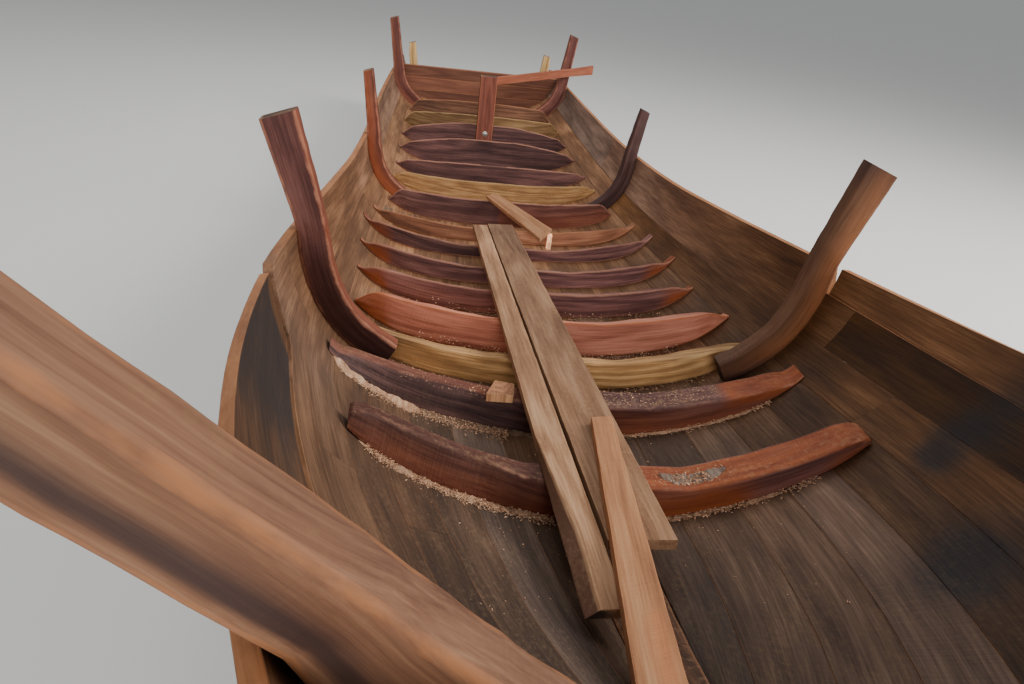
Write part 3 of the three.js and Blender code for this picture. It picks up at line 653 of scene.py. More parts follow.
def squared_ring(corners, round_by, guard=0.006):
    """Rings round a squared timber with softened arrises, from four corners a station.
    Gives the rings, edge mask, side number and place along its side for each point."""
    corners = np.asarray(corners, float)
    round_by = np.broadcast_to(np.asarray(round_by, float), len(corners))[:, None]
    ring, edge, side_number, side_part = [], [], [], []
    for i in range(4):
        here, before, after = corners[:, i], corners[:, i - 1], corners[:, (i + 1) % 4]
        back_length = np.linalg.norm(before - here, axis=1, keepdims=True) + 1e-9
        side_length = np.linalg.norm(after - here, axis=1, keepdims=True) + 1e-9
        to_before, to_after = (before - here) / back_length, (after - here) / side_length
        cut_back = np.minimum(round_by, most_rounded * back_length)
        cut_side = np.minimum(round_by, most_rounded * side_length)
        first, last = here + to_before * cut_back, here + to_after * cut_side
        ring += [first, here + (to_before * cut_back + to_after * cut_side) * arris_pull, last]
        edge += [0.85, 1.0, 0.85]
        side_number += [(i - 1) % 4, i, i]
        side_part += [1.0, 0.0, 0.0]
        support = np.minimum(guard, 0.1 * side_length)
        span = side_length - 2 * cut_side
        for part in (0.0, 0.3, 0.7, 1.0):
            shift = np.clip(part * span, support, span - support)
            ring.append(last + to_after * shift)
            edge.append(0.0)
            side_number.append(i)
            side_part.append(part)
    return np.stack(ring, 1), np.array(edge), np.array(side_number), np.array(side_part)


def heart_grain(rings, corners, seed):
    """Grain that runs along the middle line of a timber."""
    middle = corners.mean(1)
    up = corners[:, 1] - corners[:, 0]
    over = corners[:, 3] - corners[:, 0]
    up /= np.linalg.norm(up, axis=1, keepdims=True) + 1e-9
    over /= np.linalg.norm(over, axis=1, keepdims=True) + 1e-9
    away = rings - middle[:, None]
    grain = np.stack([
        np.broadcast_to(distance_along(middle)[:, None], away.shape[:2]),
        (away * up[:, None]).sum(-1), (away * over[:, None]).sum(-1),
    ], -1)
    return grain + np.random.default_rng(seed).uniform(0, 60, 3)


def line_of(x, y, z):
    """Points along one line; any of the three may be a single value for all of it."""
    return np.stack(np.broadcast_arrays(x, y, z), 1)


def squared_piece(name, corners, round_by, seed, finishes, slot, *nodes, guard=0.006, **masks):
    """Piece squared on four lines of corners, with worn arrises and its grain lengthwise."""
    rings, edge, _, _ = squared_ring(corners, round_by, guard)
    run = {"rings": rings, "grain": heart_grain(rings, corners, seed), "edge": edge, **masks}
    make_piece(name, [run], finishes, slot, *nodes)


def keel_bottom(y, top):
    """Underside of the keel: flat amidships, rising to the forefoot and to the stern."""
    front_y = station_value("foot_y", keel_front_station)
    front_rise = station_value("foot_z", keel_front_station) - forefoot_depth
    fore = np.clip((keel_flat_from_y - y) / (keel_flat_from_y - front_y), 0, 1)
    aft = np.clip((y - keel_flat_to_y) / (stern_y - keel_flat_to_y), 0, 1)
    return front_rise * fore ** 1.6 + (top - stern_keel_depth) * aft ** 1.5


keel_wood = wood_finish(
    "keel_wood", [(58, 35, 23), (88, 56, 36), (120, 82, 56)],
    [(126, 76, 46), (160, 108, 70)], 0.2, 9, saw_marks=0.6, relief_mm=1.4, worn_share=0.3)
s = np.linspace(keel_front_station, last_station, 150)
half = foot_half_width(s) - seam_clearance
y, top = station_value("foot_y", s), station_value("foot_z", s) - seam_clearance
bottom = keel_bottom(y, top)
half = half - np.abs(waver(y, 11, 0.003))
corners = np.stack([
    line_of(x, y, z) for x, z in ((-half, bottom), (-half, top), (half, top), (half, bottom))
], 1)
squared_piece("hewn_keel", corners, 0.006, 12, [keel_wood, end_grain], "keel_timber", "keel",
              tone=0.45, saw=0.5)

t = np.linspace(0, 1, 46)
foot = inner_face(np.zeros_like(t), t) * (0, 1, 1)
along = inner_face(np.zeros_like(t), np.minimum(t + 0.02, 1))
along = (along - inner_face(np.zeros_like(t), np.maximum(t - 0.02, 0))) * (0, 1, 1)
along /= np.linalg.norm(along, axis=1, keepdims=True)
outboard = np.stack([np.zeros_like(t), along[:, 2], -along[:, 1]], 1)
outboard *= np.where(outboard[:, 2:] > 0, -1, 1)
inner_depth = np.interp(t, (0, 0.125), (0.030, stem_inner_depth))[:, None]
inner, outer = foot - outboard * inner_depth, foot + outboard * stem_outer_depth
head_rise = np.array([[0.4], [0.8], [1.0]]) * stem_head_rise
inner = np.concatenate([inner, inner[-1] + along[-1] * head_rise])
outer = np.concatenate([outer, outer[-1] + along[-1] * head_rise])
start_y = station_value("foot_y", keel_front_station) - 0.0008
start_z = station_value("foot_z", keel_front_station)
inner = np.concatenate([[(0, start_y, start_z)], inner])
outer = np.concatenate([[(0, start_y, start_z - forefoot_depth)], outer])
half = np.full(len(inner), stem_half_width - seam_clearance)
half[:3] = (foot_half_width(keel_front_station) - seam_clearance, stem_half_width + 0.004,
            stem_half_width)
half = (half - np.abs(waver(np.linspace(0, 2, len(half)), 15, 0.0015)))[:, None] * (1, 0, 0)
corners = np.stack([outer - half, inner - half, inner + half, outer + half], 1)
squared_piece("raked_stem", corners, 0.007, 16, [keel_wood, end_grain], "keel_timber", "stem",
              tone=0.36, saw=0.4)


# Floor timbers: fifteen crooks chainsawn from bent branches and laid across the bottom
# on the planks. Faces are dark heartwood; tops and pointed ends are freshly adzed.
skin_rows = np.linspace(0, last_station, 451)
skin_girths = np.linspace(0, 1, 81)
skin_grid, _, _ = hull_side(skin_rows, np.tile(skin_girths, (len(skin_rows), 1)))


def rib_line(y):
    """Where the inside of the planking crosses an upright plane across the boat."""
    x = [np.interp(y, skin_grid[:, k, 1], skin_grid[:, k, 0]) for k in range(len(skin_girths))]
    z = [np.interp(y, skin_grid[:, k, 1], skin_grid[:, k, 2]) for k in range(len(skin_girths))]
    return np.array(x), np.array(z)


def skin_height(x, y):
    """Height of the bottom planking at places across the boat."""
    rib_x, rib_z = rib_line(y)
    floor_part = slice(0, 60)
    return np.interp(np.abs(x), rib_x[floor_part], rib_z[floor_part])


red_timber_wood = wood_finish(
    "red_timber_wood", [(46, 25, 25), (92, 59, 56), (140, 98, 90)],
    [(116, 50, 25), (162, 86, 46)], 0.25, 8, saw_marks=0.35, relief_mm=1.6,
    cloud_reach=0.3, worn_tint=(176, 122, 98))
yellow_timber_wood = wood_finish(
    "yellow_timber_wood", [(88, 58, 32), (154, 114, 70), (200, 162, 112)],
    [(164, 116, 66), (204, 164, 104)], 0.25, 12, stain_tint=(84, 56, 36), saw_marks=0.3,
    relief_mm=1.6, cloud_reach=0.3)
tan_timber_wood = wood_finish(
    "tan_timber_wood", [(82, 48, 33), (136, 88, 62), (176, 124, 92)],
    [(136, 76, 44), (180, 118, 78)], 0.3, 10, saw_marks=0.45, relief_mm=1.8)
salmon_timber_wood = wood_finish(
    "salmon_timber_wood", [(112, 60, 46), (164, 102, 82), (194, 136, 112)],
    [(140, 64, 34), (180, 100, 58)], 0.2, 8, saw_marks=0.3, relief_mm=1.4, cloud_reach=0.3)
timber_finishes = {
    "red": (red_timber_wood, "red_timber"), "yellow": (yellow_timber_wood, "yellow_timber"),
    "tan": (tan_timber_wood, "tan_timber"), "salmon": (salmon_timber_wood, "tan_timber"),
}
# y, reach left, reach right, tip height, middle height, thickness, wood, tone left and
# right, fresh cut on the face left and right, and on the top left and right
timber_rows = [
    (-2.010, 0.665, 0.680, 0.796, 0.598, 0.105, "red", 0.00, 0.74, 0.40, 0.15, 0.25, 1.00),
    (-1.500, 0.800, 0.820, 0.668, 0.508, 0.110, "red", 0.30, 0.38, 0.06, 0.40, 0.30, 0.10),
    (-1.130, 0.775, 0.785, 0.592, 0.462, 0.115, "yellow", 0.92, 1.04, 0.0, 0.0, 0.1, 0.1),
    (-0.820, 0.750, 0.780, 0.570, 0.463, 0.105, "salmon", 0.80, 0.72, 0.25, 0.0, 0.3, 0.1),
    (-0.390, 0.775, 0.775, 0.485, 0.388, 0.100, "red", 0.90, 0.74, 0.30, 0.10, 0.1, 0.2),
    (0.020, 0.795, 0.810, 0.438, 0.324, 0.105, "red", 0.72, 0.84, 0.10, 0.0, 0.1, 0.1),
    (0.450, 0.825, 0.835, 0.398, 0.268, 0.105, "red", 0.32, 0.80, 0.0, 0.0, 0.0, 0.0),
    (0.740, 0.780, 0.785, 0.352, 0.264, 0.095, "tan", 0.68, 0.86, 0.0, 0.0, 0.2, 0.2),
    (1.090, 0.705, 0.720, 0.368, 0.325, 0.105, "red", 0.42, 0.42, 0.1, 0.35, 0.0, 0.0),
    (1.610, 0.705, 0.715, 0.320, 0.282, 0.105, "yellow", 0.88, 0.82, 0.0, 0.0, 0.1, 0.1),
    (1.960, 0.700, 0.710, 0.300, 0.306, 0.100, "red", 0.52, 0.48, 0.0, 0.0, 0.0, 0.0),
    (2.420, 0.695, 0.705, 0.300, 0.372, 0.105, "red", 0.36, 0.34, 0.0, 0.0, 0.0, 0.0),
    (2.820, 0.690, 0.695, 0.318, 0.402, 0.100, "red", 0.36, 0.30, 0.0, 0.0, 0.0, 0.0),
    (3.220, 0.680, 0.685, 0.372, 0.388, 0.100, "yellow", 0.30, 0.40, 0.0, 0.0, 0.1, 0.1),
    (3.630, 0.640, 0.650, 0.392, 0.418, 0.100, "tan", 0.30, 0.30, 0.0, 0.0, 0.1, 0.1),
]
# Freshly adzed points of some timbers, on the face left and right, from this share of the
# reach outwards; dirt by the kind of wood; and how much lighter the tops are than the faces.
adzed_from = 0.78
fresh_points = {1: (0.3, 0.5), 2: (0.0, 0.55), 4: (1.0, 0.3), 5: (0.9, 0.9), 6: (0.9, 0.9),
                7: (0.6, 0)}
grime = {"red": 0.12, "yellow": 0.42, "tan": 0.3, "salmon": 0.12}
top_lifts = {1: -0.25, 3: -0.12}
usual_top_lift = 0.06
# Hollows in the tops: middle and half length along the timber, squareness and depth. The
# first holds rotten heartwood; the other is an axe notch, dark with dirt.
rot_middle, rot_half_length, rot_depth = 0.24, 0.075, 0.016
top_hollows = {1: (rot_middle, rot_half_length, 4, rot_depth), 11: (0.01, 0.105, 8, 0.022)}
notch_dirt_from = 0.012
# The tops are flat amidships, sweep up to the tips and fall off towards the stern. The first
# two timbers have blunt noses and lean back on the left.
flat_part = 0.32
tip_sweep = 0.45
top_fall = 0.042
blunt_timbers = 2
nose_drop = 0.036
near_lean = 0.058
# Least wood over the planking at the tips and along them, how deep the feet are let in,
# and how uneven the hewn faces are.
least_tip = 0.010
least_top = 0.006
seat_depth = 0.003
hewn_waver = 0.005
timber_steps = 40
crowded_tips = 1.35
timber_shapes = {}


def timber_top(x, reach, middle_z, tip_z):
    """Height of the top: flat amidships, then swept up to the tip at the planned reach."""
    rise = np.maximum((np.abs(x) / reach - flat_part) / (1 - flat_part), 0)
    return middle_z + (tip_z - middle_z) * ((1 - tip_sweep) * rise + tip_sweep * rise ** 2)


def clear_reach(planned, timber_y, middle_z, tip_z):
    """The planned reach, or less where the top would come too near the planking."""
    x = np.linspace(0.3, planned, 200)
    clear = timber_top(x, planned, middle_z, tip_z) - skin_height(x, timber_y)
    below = np.nonzero(clear < least_tip)[0]
    return planned if len(below) == 0 else x[below[0]]


def timber_lines(number, row):
    """One floor timber from tip to tip: x, share of its reach, depth of the hollow in its
    top, and its four lines of corners."""
    timber_y, left_reach, right_reach, tip_z, middle_z, thick = row[:6]
    left_end, right_end = (
        clear_reach(planned, timber_y, middle_z, tip_z) for planned in (left_reach, right_reach))
    spread = 1 - (1 - np.linspace(0, 1, timber_steps)) ** crowded_tips
    part = np.concatenate([-spread[:0:-1], spread])
    planned = np.where(part < 0, left_reach, right_reach)
    x = part * np.where(part < 0, left_end, right_end)
    end = np.abs(part)
    front_y, back_y = timber_y - thick / 2, timber_y + thick / 2
    low_front, low_back = skin_height(x, front_y), skin_height(x, back_y)
    low = np.maximum(low_front, low_back)
    away_from_middle = np.minimum(np.abs(x) / 0.3, 1)
    top = timber_top(x, planned, middle_z, tip_z)
    top = top - np.abs(waver(x, number, 0.004)) * away_from_middle
    if number <= blunt_timbers:
        drop = np.clip((end - 0.90) / 0.10, 0, 1)
        top = top - nose_drop * (1 - np.sqrt(1 - 0.96 * drop ** 2))
        pinch = 0.20 * np.clip((end - 0.85) / 0.15, 0, 1) ** 2
        lean_back = near_lean * np.clip((-x - 0.10) / 0.22, 0, 1) * (1 - 0.5 * drop)
        fall = 0.003
    else:
        drop = np.clip((end - 0.86) / 0.14, 0, 1) ** 2.2
        top = top + (low + least_tip - top) * drop
        pinch = 0.35 * np.clip((end - 0.80) / 0.20, 0, 1) ** 2
        lean_back = 0.0
        fall = top_fall * (1 + waver(x, number + 90, 0.25))
    front = front_y + pinch * thick * 0.6 + np.abs(waver(x, number + 30, hewn_waver))
    back = back_y - pinch * thick * 0.4 - np.abs(waver(x, number + 60, hewn_waver))
    top = np.maximum(top, low + least_top)
    back_top = np.maximum(top - fall, low_back + 0.005)
    timber_shapes[number] = {"x": x, "top": top, "front": front, "back": back}
    hollow = np.zeros_like(x)
    if number in top_hollows:
        middle, half_length, squareness, depth = top_hollows[number]
        hollow = np.exp(-(((x - middle) / half_length) ** squareness)) * depth
    return x, end, hollow, np.stack([
        line_of(x, front, low_front - seat_depth), line_of(x, front + lean_back, top),
        line_of(x, back, back_top), line_of(x, back, low_back - seat_depth),
    ], 1)


def timber_cuts(number, row, x, end, side_number, side_part):
    """How freshly one floor timber is cut, on its top and on its near face."""
    face_left, face_right, top_left, top_right = row[9:]
    top_fresh = np.where(x < 0, top_left, top_right)
    face_fresh = np.where(x < 0, face_left, face_right)
    if number == 1:
        face_fresh = np.interp(x, (0, 0.08, 0.30, 0.42), (face_left, 1, 1, face_right))
    elif number == 2:
        top_fresh = np.interp(x, (-0.8, -0.1, 0.1, 0.50, 0.53), (0.35, 0.5, 0.1, 0.1, 1.0))
    point_left, point_right = fresh_points.get(number, (0, 0))
    at_point = np.clip((end - adzed_from) / 0.1, 0, 1)
    at_point = at_point * np.where(x < 0, point_left, point_right)
    top_fresh = np.maximum(top_fresh, at_point)[:, None]
    face_fresh = np.maximum(face_fresh, at_point)[:, None]
    on_top, on_face = side_number == 1, side_number == 0
    fresh = top_fresh * on_top + face_fresh * on_face * (1.5 - 0.9 * side_part)
    if number == 2:
        facet = np.interp(x, (0.50, 0.56), (0, 1))[:, None]
        fresh = fresh + facet * on_face * np.clip((side_part - 0.3) * 2, 0, 1)
    return fresh


for number, row in enumerate(timber_rows, 1):
    wood, tone_left, tone_right = row[6:9]
    x, end, hollow, corners = timber_lines(number, row)
    rings, edge, side_number, side_part = squared_ring(corners, 0.009)
    on_top = side_number == 1
    rings[..., 2] -= hollow[:, None] * on_top * np.sin(math.pi * side_part)
    stain = np.where(side_number == 3, 0.5, grime[wood]) + np.zeros((len(x), 1))
    if number == 11:
        stain = stain + (hollow[:, None] > notch_dirt_from) * on_top
    tone = np.interp(x, (-0.15, 0.15), (tone_left, tone_right))[:, None]
    timber_run = {
        "rings": rings, "grain": heart_grain(rings, corners, number + 80),
        "tone": tone + top_lifts.get(number, usual_top_lift) * on_top,
        "edge": edge * (0.62 if number <= 3 else 1.0), "saw": 0.3, "stain": stain,
        "fresh": timber_cuts(number, row, x, end, side_number, side_part),
    }
    finish, slot = timber_finishes[wood]
    make_piece(f"crook_{number:02d}", [timber_run], [finish, finish], slot,
               f"floor_timber_{number:02d}", sharp_angle=50)


# Futtocks: four pairs of tall crooked ribs left long above the rails. Each was sawn
# out of a bent trunk, so its outer edge keeps bark-dark sapwood and its faces show heart.
futtock_red_wood = wood_finish(
    "futtock_red_wood", [(72, 34, 31), (122, 70, 62), (166, 108, 94)],
    [(122, 52, 28), (164, 88, 52)], 0.1, 7, saw_marks=0.2, relief_mm=1.4, cloud_reach=0.3,
    worn_tint=(178, 116, 88))
futtock_pale_wood = wood_finish(
    "futtock_pale_wood", [(92, 58, 40), (138, 96, 70), (170, 130, 98)],
    [(136, 78, 42), (166, 108, 68)], 0.1, 6, stain_tint=(46, 31, 31),
    saw_marks=0.15, relief_mm=1.0, figure_share=0.14, cloud_reach=0.4)
# y, thickness, foot girth, foot width, side width, knee width, head width, head x, height
# of the left and of the right head
futtock_rows = [
    (-3.130, 0.075, 0.30, 0.080, 0.102, 0.050, 0.098, 1.045, 1.850, 1.850),
    (-1.280, 0.065, 0.48, 0.100, 0.095, 0, 0.112, 0.885, 1.310, 1.310),
    (1.220, 0.065, 0.42, 0.060, 0.080, 0, 0.062, 0.830, 1.020, 0.940),
    (3.830, 0.085, 0.36, 0.040, 0.095, 0, 0.078, 0.785, 1.050, 1.050),
]
# wood, tone, fresh cut on face and on the inner edge, dark bark on the outer edge, wear
# of the arrises, grey
futtock_looks = {
    (1, -1): ("pale", 0.36, 0.05, 0.15, 1.4, 0.8, 0),
    (1, 1): ("pale", 0.40, 0.1, 0.2, 1.4, 0.8, 0),
    (2, -1): ("red", 0.09, 0.05, 0.55, 0.3, 0.8, 0),
    (2, 1): ("pale", -0.14, 0.55, 0.2, 0.6, 0.35, 0),
    (3, -1): ("red", 0.02, 0.80, 0.4, 0.3, 0.8, 0),
    (3, 1): ("red", -0.14, 0.0, 0.0, 0.6, 0.45, 0.25),
    (4, -1): ("red", 0.30, 0.25, 0.3, 0.4, 0.8, 0),
    (4, 1): ("red", 0.28, 0.1, 0.3, 0.4, 0.8, 0),
}
# Rows of height and darkening: one rib is darker at its foot and at its head.
darker_up_the_rib = {(2, 1): ((0.50, 0.66, 1.16, 1.31), (0.9, 0, 0, 0.7))}
side_points, head_points = 30, 22
inner_easing, outer_easing = 26, 6


def eased(line, passes):
    """A line of points with its kinks rounded off, its two ends kept."""
    line = line.copy()
    for _ in range(passes):
        line[1:-1] = line[1:-1] * 0.5 + (line[:-2] + line[2:]) * 0.25
    return line


def planking_line(y, foot_girth):
    """Inside of the planking behind one face of a rib, as x and z from its foot to the rail."""
    rib_x, rib_z = rib_line(y)
    g = np.linspace(foot_girth, 1, side_points)
    return np.stack([np.interp(g, skin_girths, rib_x), np.interp(g, skin_girths, rib_z)], 1)


def rib_corners(row, side, head_z, seed):
    """Four lines of corners of one rib: up along the planking, then leaning out to its head."""
    y_mid, thick, foot_girth, foot_width, side_width, knee, head_width, head_x = row[:8]
    front_line = planking_line(y_mid - thick / 2, foot_girth)
    back_line = planking_line(y_mid + thick / 2, foot_girth)
    middle_line = (front_line + back_line) / 2
    along = np.gradient(middle_line, axis=0)
    along /= np.linalg.norm(along, axis=1, keepdims=True)
    inward = np.stack([-along[:, 1], along[:, 0]], 1)
    part = np.linspace(0, 1, side_points)
    grow = np.minimum(part * 2.5, 1)
    width = foot_width + (side_width - foot_width) * grow + knee * np.sin(math.pi * part)
    inner = middle_line + inward * width[:, None]
    rise = np.linspace(0, 1, head_points)[1:, None]
    head = np.array([head_x, head_z])
    lean_way = (head - inner[-1]) / np.linalg.norm(head - inner[-1])
    outward_way = np.array([lean_way[1], -lean_way[0]])
    inner_top = inner[-1] + (head - inner[-1]) * rise
    inner_line = eased(np.concatenate([inner, inner_top]), inner_easing)
    outer_head = head + outward_way * head_width - lean_way * 0.012
    outer_top = middle_line[-1] + (outer_head - middle_line[-1]) * rise

    def outer_line(line):
        whole = np.concatenate([line - inward * seat_depth, outer_top])
        from_rail = side_points - 2
        whole[from_rail:] = eased(whole[from_rail:], outer_easing)
        return whole

    distance = np.linspace(0, 1.3, len(inner_line))
    front_y = y_mid - thick / 2 + np.abs(waver(distance, seed + 1, 0.004))
    back_y = y_mid + thick / 2 - np.abs(waver(distance, seed + 2, 0.004))
    inner_hewn = inner_line + np.abs(waver(distance, seed, 0.0035))[:, None] * (0.7, -0.7)
    return np.stack([
        line_of(side * line[:, 0], y, line[:, 1]) for line, y in (
            (outer_line(front_line), front_y), (inner_hewn, front_y),
            (inner_hewn, back_y), (outer_line(back_line), back_y))
    ], 1)


for pair, row in enumerate(futtock_rows, 1):
    for side, side_name, head_z in ((-1, "left", row[8]), (1, "right", row[9])):
        wood, tone, face_fresh, inner_fresh, bark, wear, grey = futtock_looks[pair, side]
        seed = 120 + pair * 4 + side
        corners = rib_corners(row, side, head_z, seed)
        rings, edge, side_number, side_part = squared_ring(corners, 0.011)
        on_face = np.isin(side_number, (0, 2))
        on_inner, on_outer = side_number == 1, side_number == 3
        near_outer = np.where(side_number == 0, 1 - side_part, np.where(
            side_number == 2, side_part, 0))
        fresh = face_fresh * on_face * (0.4 + near_outer * 0.9) + inner_fresh * on_inner
        if pair == 1:
            bark_band = on_face * np.interp(near_outer, (0.1, 0.3, 0.7, 1), (0, 0.3, 1, 0.15))
            dark_edge = bark * (0.3 * on_outer + bark_band)
        else:
            dark_edge = bark * (on_outer + np.clip(near_outer * 1.6 - 1.05, 0, 1))
        if (pair, side) in darker_up_the_rib:
            dark_edge = dark_edge + np.interp(rings[..., 2], *darker_up_the_rib[pair, side])
        futtock_run = {
            "rings": rings, "grain": heart_grain(rings, corners, seed + 3), "edge": edge * wear,
            "fresh": fresh, "stain": dark_edge * 0.7, "tone": tone, "saw": 0.1, "grey": grey,
        }
        finish = futtock_pale_wood if wood == "pale" else futtock_red_wood
        make_piece(f"tall_rib_{pair}_{side_name}", [futtock_run], [finish, end_grain],
                   "futtock_timber", f"futtock_{pair}_{side_name}", sharp_angle=50)


# Transom and quarter posts: three red boards on edge, cut to the shape of the stern,
# with a pale leaf-shaped post spiked behind each end.
transom_wood = wood_finish(
    "transom_wood", [(92, 54, 39), (118, 72, 53), (142, 94, 70)],
    [(140, 78, 50), (176, 116, 78)], 0.2, 8, saw_marks=0.4)
quarter_wood = wood_finish(
    "quarter_wood", [(120, 88, 48), (190, 152, 96), (218, 188, 134)],
    [(186, 138, 84), (222, 184, 126)], 0.2, 9, saw_marks=0.3)
transom_front_y, transom_back_y = 4.211, 4.249
end_let_in = 0.002
# lower and upper edge, tone, fresh saw cut on the top edge
transom_boards = (
    (0.180, 0.360, 0.42, 0), (0.361, 0.480, 0.54, 0), (0.481, 0.585, 0.46, 0.8),
)


def half_breadth(z, y):
    """Half the width inside the planking at one height, with the board ends let in."""
    rib_x, rib_z = rib_line(y)
    return np.interp(z, rib_z, rib_x) + end_let_in


# The upper boards run straight; the lowest one is cut to the curve of the bottom.
across = np.sin(np.linspace(-1, 1, 41) * math.pi / 2)
faces_y = transom_front_y, transom_back_y
for number, (low, high, tone, top_fresh) in enumerate(transom_boards, 1):
    low_x = [across * half_breadth(low + 0.001, y) for y in faces_y]
    high_x = [across * half_breadth(high - 0.0015, y) for y in faces_y]
    if number == 1:
        low_x = high_x = [high_x[0]] * 2
        rib_x, rib_z = rib_line(transom_front_y)
        low = np.interp(np.abs(high_x[0]), rib_x, rib_z) - end_let_in
        low = np.clip(low, 0, high - 0.02)
    corners = np.stack([
        line_of(low_x[0], transom_front_y, low), line_of(high_x[0], transom_front_y, high),
        line_of(high_x[1], transom_back_y, high), line_of(low_x[1], transom_back_y, low),
    ], 1)
    rings, edge, side_number, _ = squared_ring(corners, 0.0025, 0.004)
    board_run = {"rings": rings, "grain": heart_grain(rings, corners, 179 + number),
                 "edge": edge, "tone": tone, "saw": 0.2, "fresh": (side_number == 1) * top_fresh}
    make_piece(f"stern_board_{number}", [board_run], [transom_wood, end_grain],
               "transom_board", f"transom_board_{number}")

seat_gap = 0.0003
quarter_front_y = transom_back_y + seat_gap
quarter_back_y = quarter_front_y + 0.060
quarter_up = np.linspace(0, 1, 20)


def quarter_edge(foot_x, head_x, head_z):
    """One upright edge of a quarter post, as x and z, from the planking to its head."""
    foot_z = skin_height(foot_x, quarter_front_y)
    return np.stack([foot_x + (head_x - foot_x) * quarter_up,
                     foot_z + (head_z - foot_z) * quarter_up], 1)


for side, side_name in ((-1, "left"), (1, "right")):
    inner = quarter_edge(0.560, 0.625, 0.790)
    outer = quarter_edge(0.650, 0.705, 0.775)
    inner[:, 0] += waver(quarter_up, 200 + side, 0.003) + 0.004
    outer[:, 0] -= 0.012 * np.clip(quarter_up - 0.8, 0, 1) / 0.2 + 0.003
    corners = np.stack([
        line_of(side * line[:, 0], y, line[:, 1])
        for line, y in ((outer, quarter_front_y), (inner, quarter_front_y),
                        (inner, quarter_back_y), (outer, quarter_back_y))
    ], 1)
    squared_piece(f"stern_post_{side_name}", corners, 0.008, 205 + side,
                  [quarter_wood, end_grain], "tan_timber", f"quarter_post_{side_name}",
                  tone=0.6, saw=0.2)


# Centre post and brace: a squared red post stood on the keel and bolted through the
# floor timber behind it, held by a flat batten nailed across to the stern rib.
post_wood = wood_finish(
    "post_wood", [(88, 44, 34), (128, 70, 54), (158, 98, 76)],
    [(150, 74, 44), (184, 108, 72)], 0.1, 7, saw_marks=0.3)


def timber_face_y(number, way):
    """Front (-1) or back (1) face of one floor timber, as it was set out."""
    row = timber_rows[number - 1]
    return row[0] + way * row[5] / 2


def timber_top_z(number):
    """Height of one floor timber's top amidships."""
    return timber_rows[number - 1][4]


post_left, post_right = -0.083, 0.048
post_back_y = timber_face_y(13, -1) - seat_gap
post_front_y = post_back_y - 0.082
post_top_z = 0.792
up = np.linspace(0, 1, 24)
post_foot_z = skin_height(0.0, post_front_y) + seat_gap
z = post_foot_z + (post_top_z - post_foot_z) * up
post_plan = ((post_left, post_front_y), (post_right, post_front_y),
             (post_right, post_back_y), (post_left, post_back_y))
corners = np.stack([
    line_of(x + waver(up, 220 + i, 0.0015), y, z) for i, (x, y) in enumerate(post_plan)
], 1)
rings, edge, side_number, _ = squared_ring(corners, 0.005)
post_run = {"rings": rings, "grain": heart_grain(rings, corners, 225), "edge": edge,
            "tone": np.where(side_number == 3, 0.2, 0.44), "saw": 0.2}
make_piece("bolted_post", [post_run], [post_wood, end_grain], "post_timber", "centre_post")

stern_rib_y, stern_rib_thickness = futtock_rows[3][:2]
brace_start = np.array([0.026, post_back_y + 2 * seat_gap])
brace_touch = np.array([0.832, stern_rib_y - stern_rib_thickness / 2 - seat_gap])
brace_length = np.linalg.norm(brace_touch - brace_start)
brace_way = (brace_touch - brace_start) / brace_length
brace_side = np.array([brace_way[1], -brace_way[0]])
brace_thickness, brace_overhang = 0.020, 0.408
distance = np.linspace(0, brace_length + brace_overhang, 40)
low = np.interp(distance, (0, brace_length, distance[-1]), (0.725, 0.695, 0.680))
high = np.interp(distance, (0, brace_length, distance[-1]), (0.785, 0.765, 0.765))
inner = brace_start + brace_way * distance[:, None]
outer = inner + brace_side * brace_thickness
outer[0] += brace_way * (inner[0, 1] - outer[0, 1]) / brace_way[1]
corners = np.stack([
    np.column_stack([line, level]) for line, level in (
        (outer, low), (outer, high), (inner, high), (inner, low))
], 1)
squared_piece("flat_brace", corners, 0.002, 230, [post_wood, end_grain], "post_timber",
              "brace_batten", guard=0.004, tone=0.62, fresh=0.45, saw=0.4)

bolt_steel = bpy.data.materials.new("bolt_steel")
bolt_steel.use_nodes = True
steel_tree = bolt_steel.node_tree
steel = steel_tree.nodes["Principled BSDF"]
steel.inputs["Metallic"].default_value = 0.85
texture_at = add_node(steel_tree, "TexCoord")
tarnish = noise_at(steel_tree, texture_at.outputs["Object"], (140, 140, 140), 3)
tarnish_tints = add_node(steel_tree, "ValToRGB")
tarnish_tints.color_ramp.elements[0].color = tint(150, 142, 132)
tarnish_tints.color_ramp.elements[1].color = tint(226, 222, 214)
steel_tree.links.new(tarnish, tarnish_tints.inputs["Fac"])
steel_tree.links.new(tarnish_tints.outputs["Color"], steel.inputs["Base Color"])
steel_rough = ramp(steel_tree, tarnish, 0.3, 0.7, 0.35, 0.6)
steel_tree.links.new(steel_rough, steel.inputs["Roughness"])
bolt_x, bolt_z = -0.012, 0.345
turn = np.linspace(0, 2 * math.pi, 24, endpoint=False)
bolt_radius = np.array([0.020, 0.021, 0.021, 0.0195, 0.0125, 0.0125, 0.010, 0.005])
bolt_proud = np.array([0.0, 0.0005, 0.0025, 0.003, 0.0032, 0.009, 0.012, 0.0135])
rings = np.stack([
    line_of(bolt_x + radius * np.cos(turn), post_front_y + 0.001 - proud,
            bolt_z + radius * np.sin(turn))
    for radius, proud in zip(bolt_radius, bolt_proud)
])
make_piece("post_bolt", [{"rings": rings, "grain": rings}], [bolt_steel], "bolt_steel")


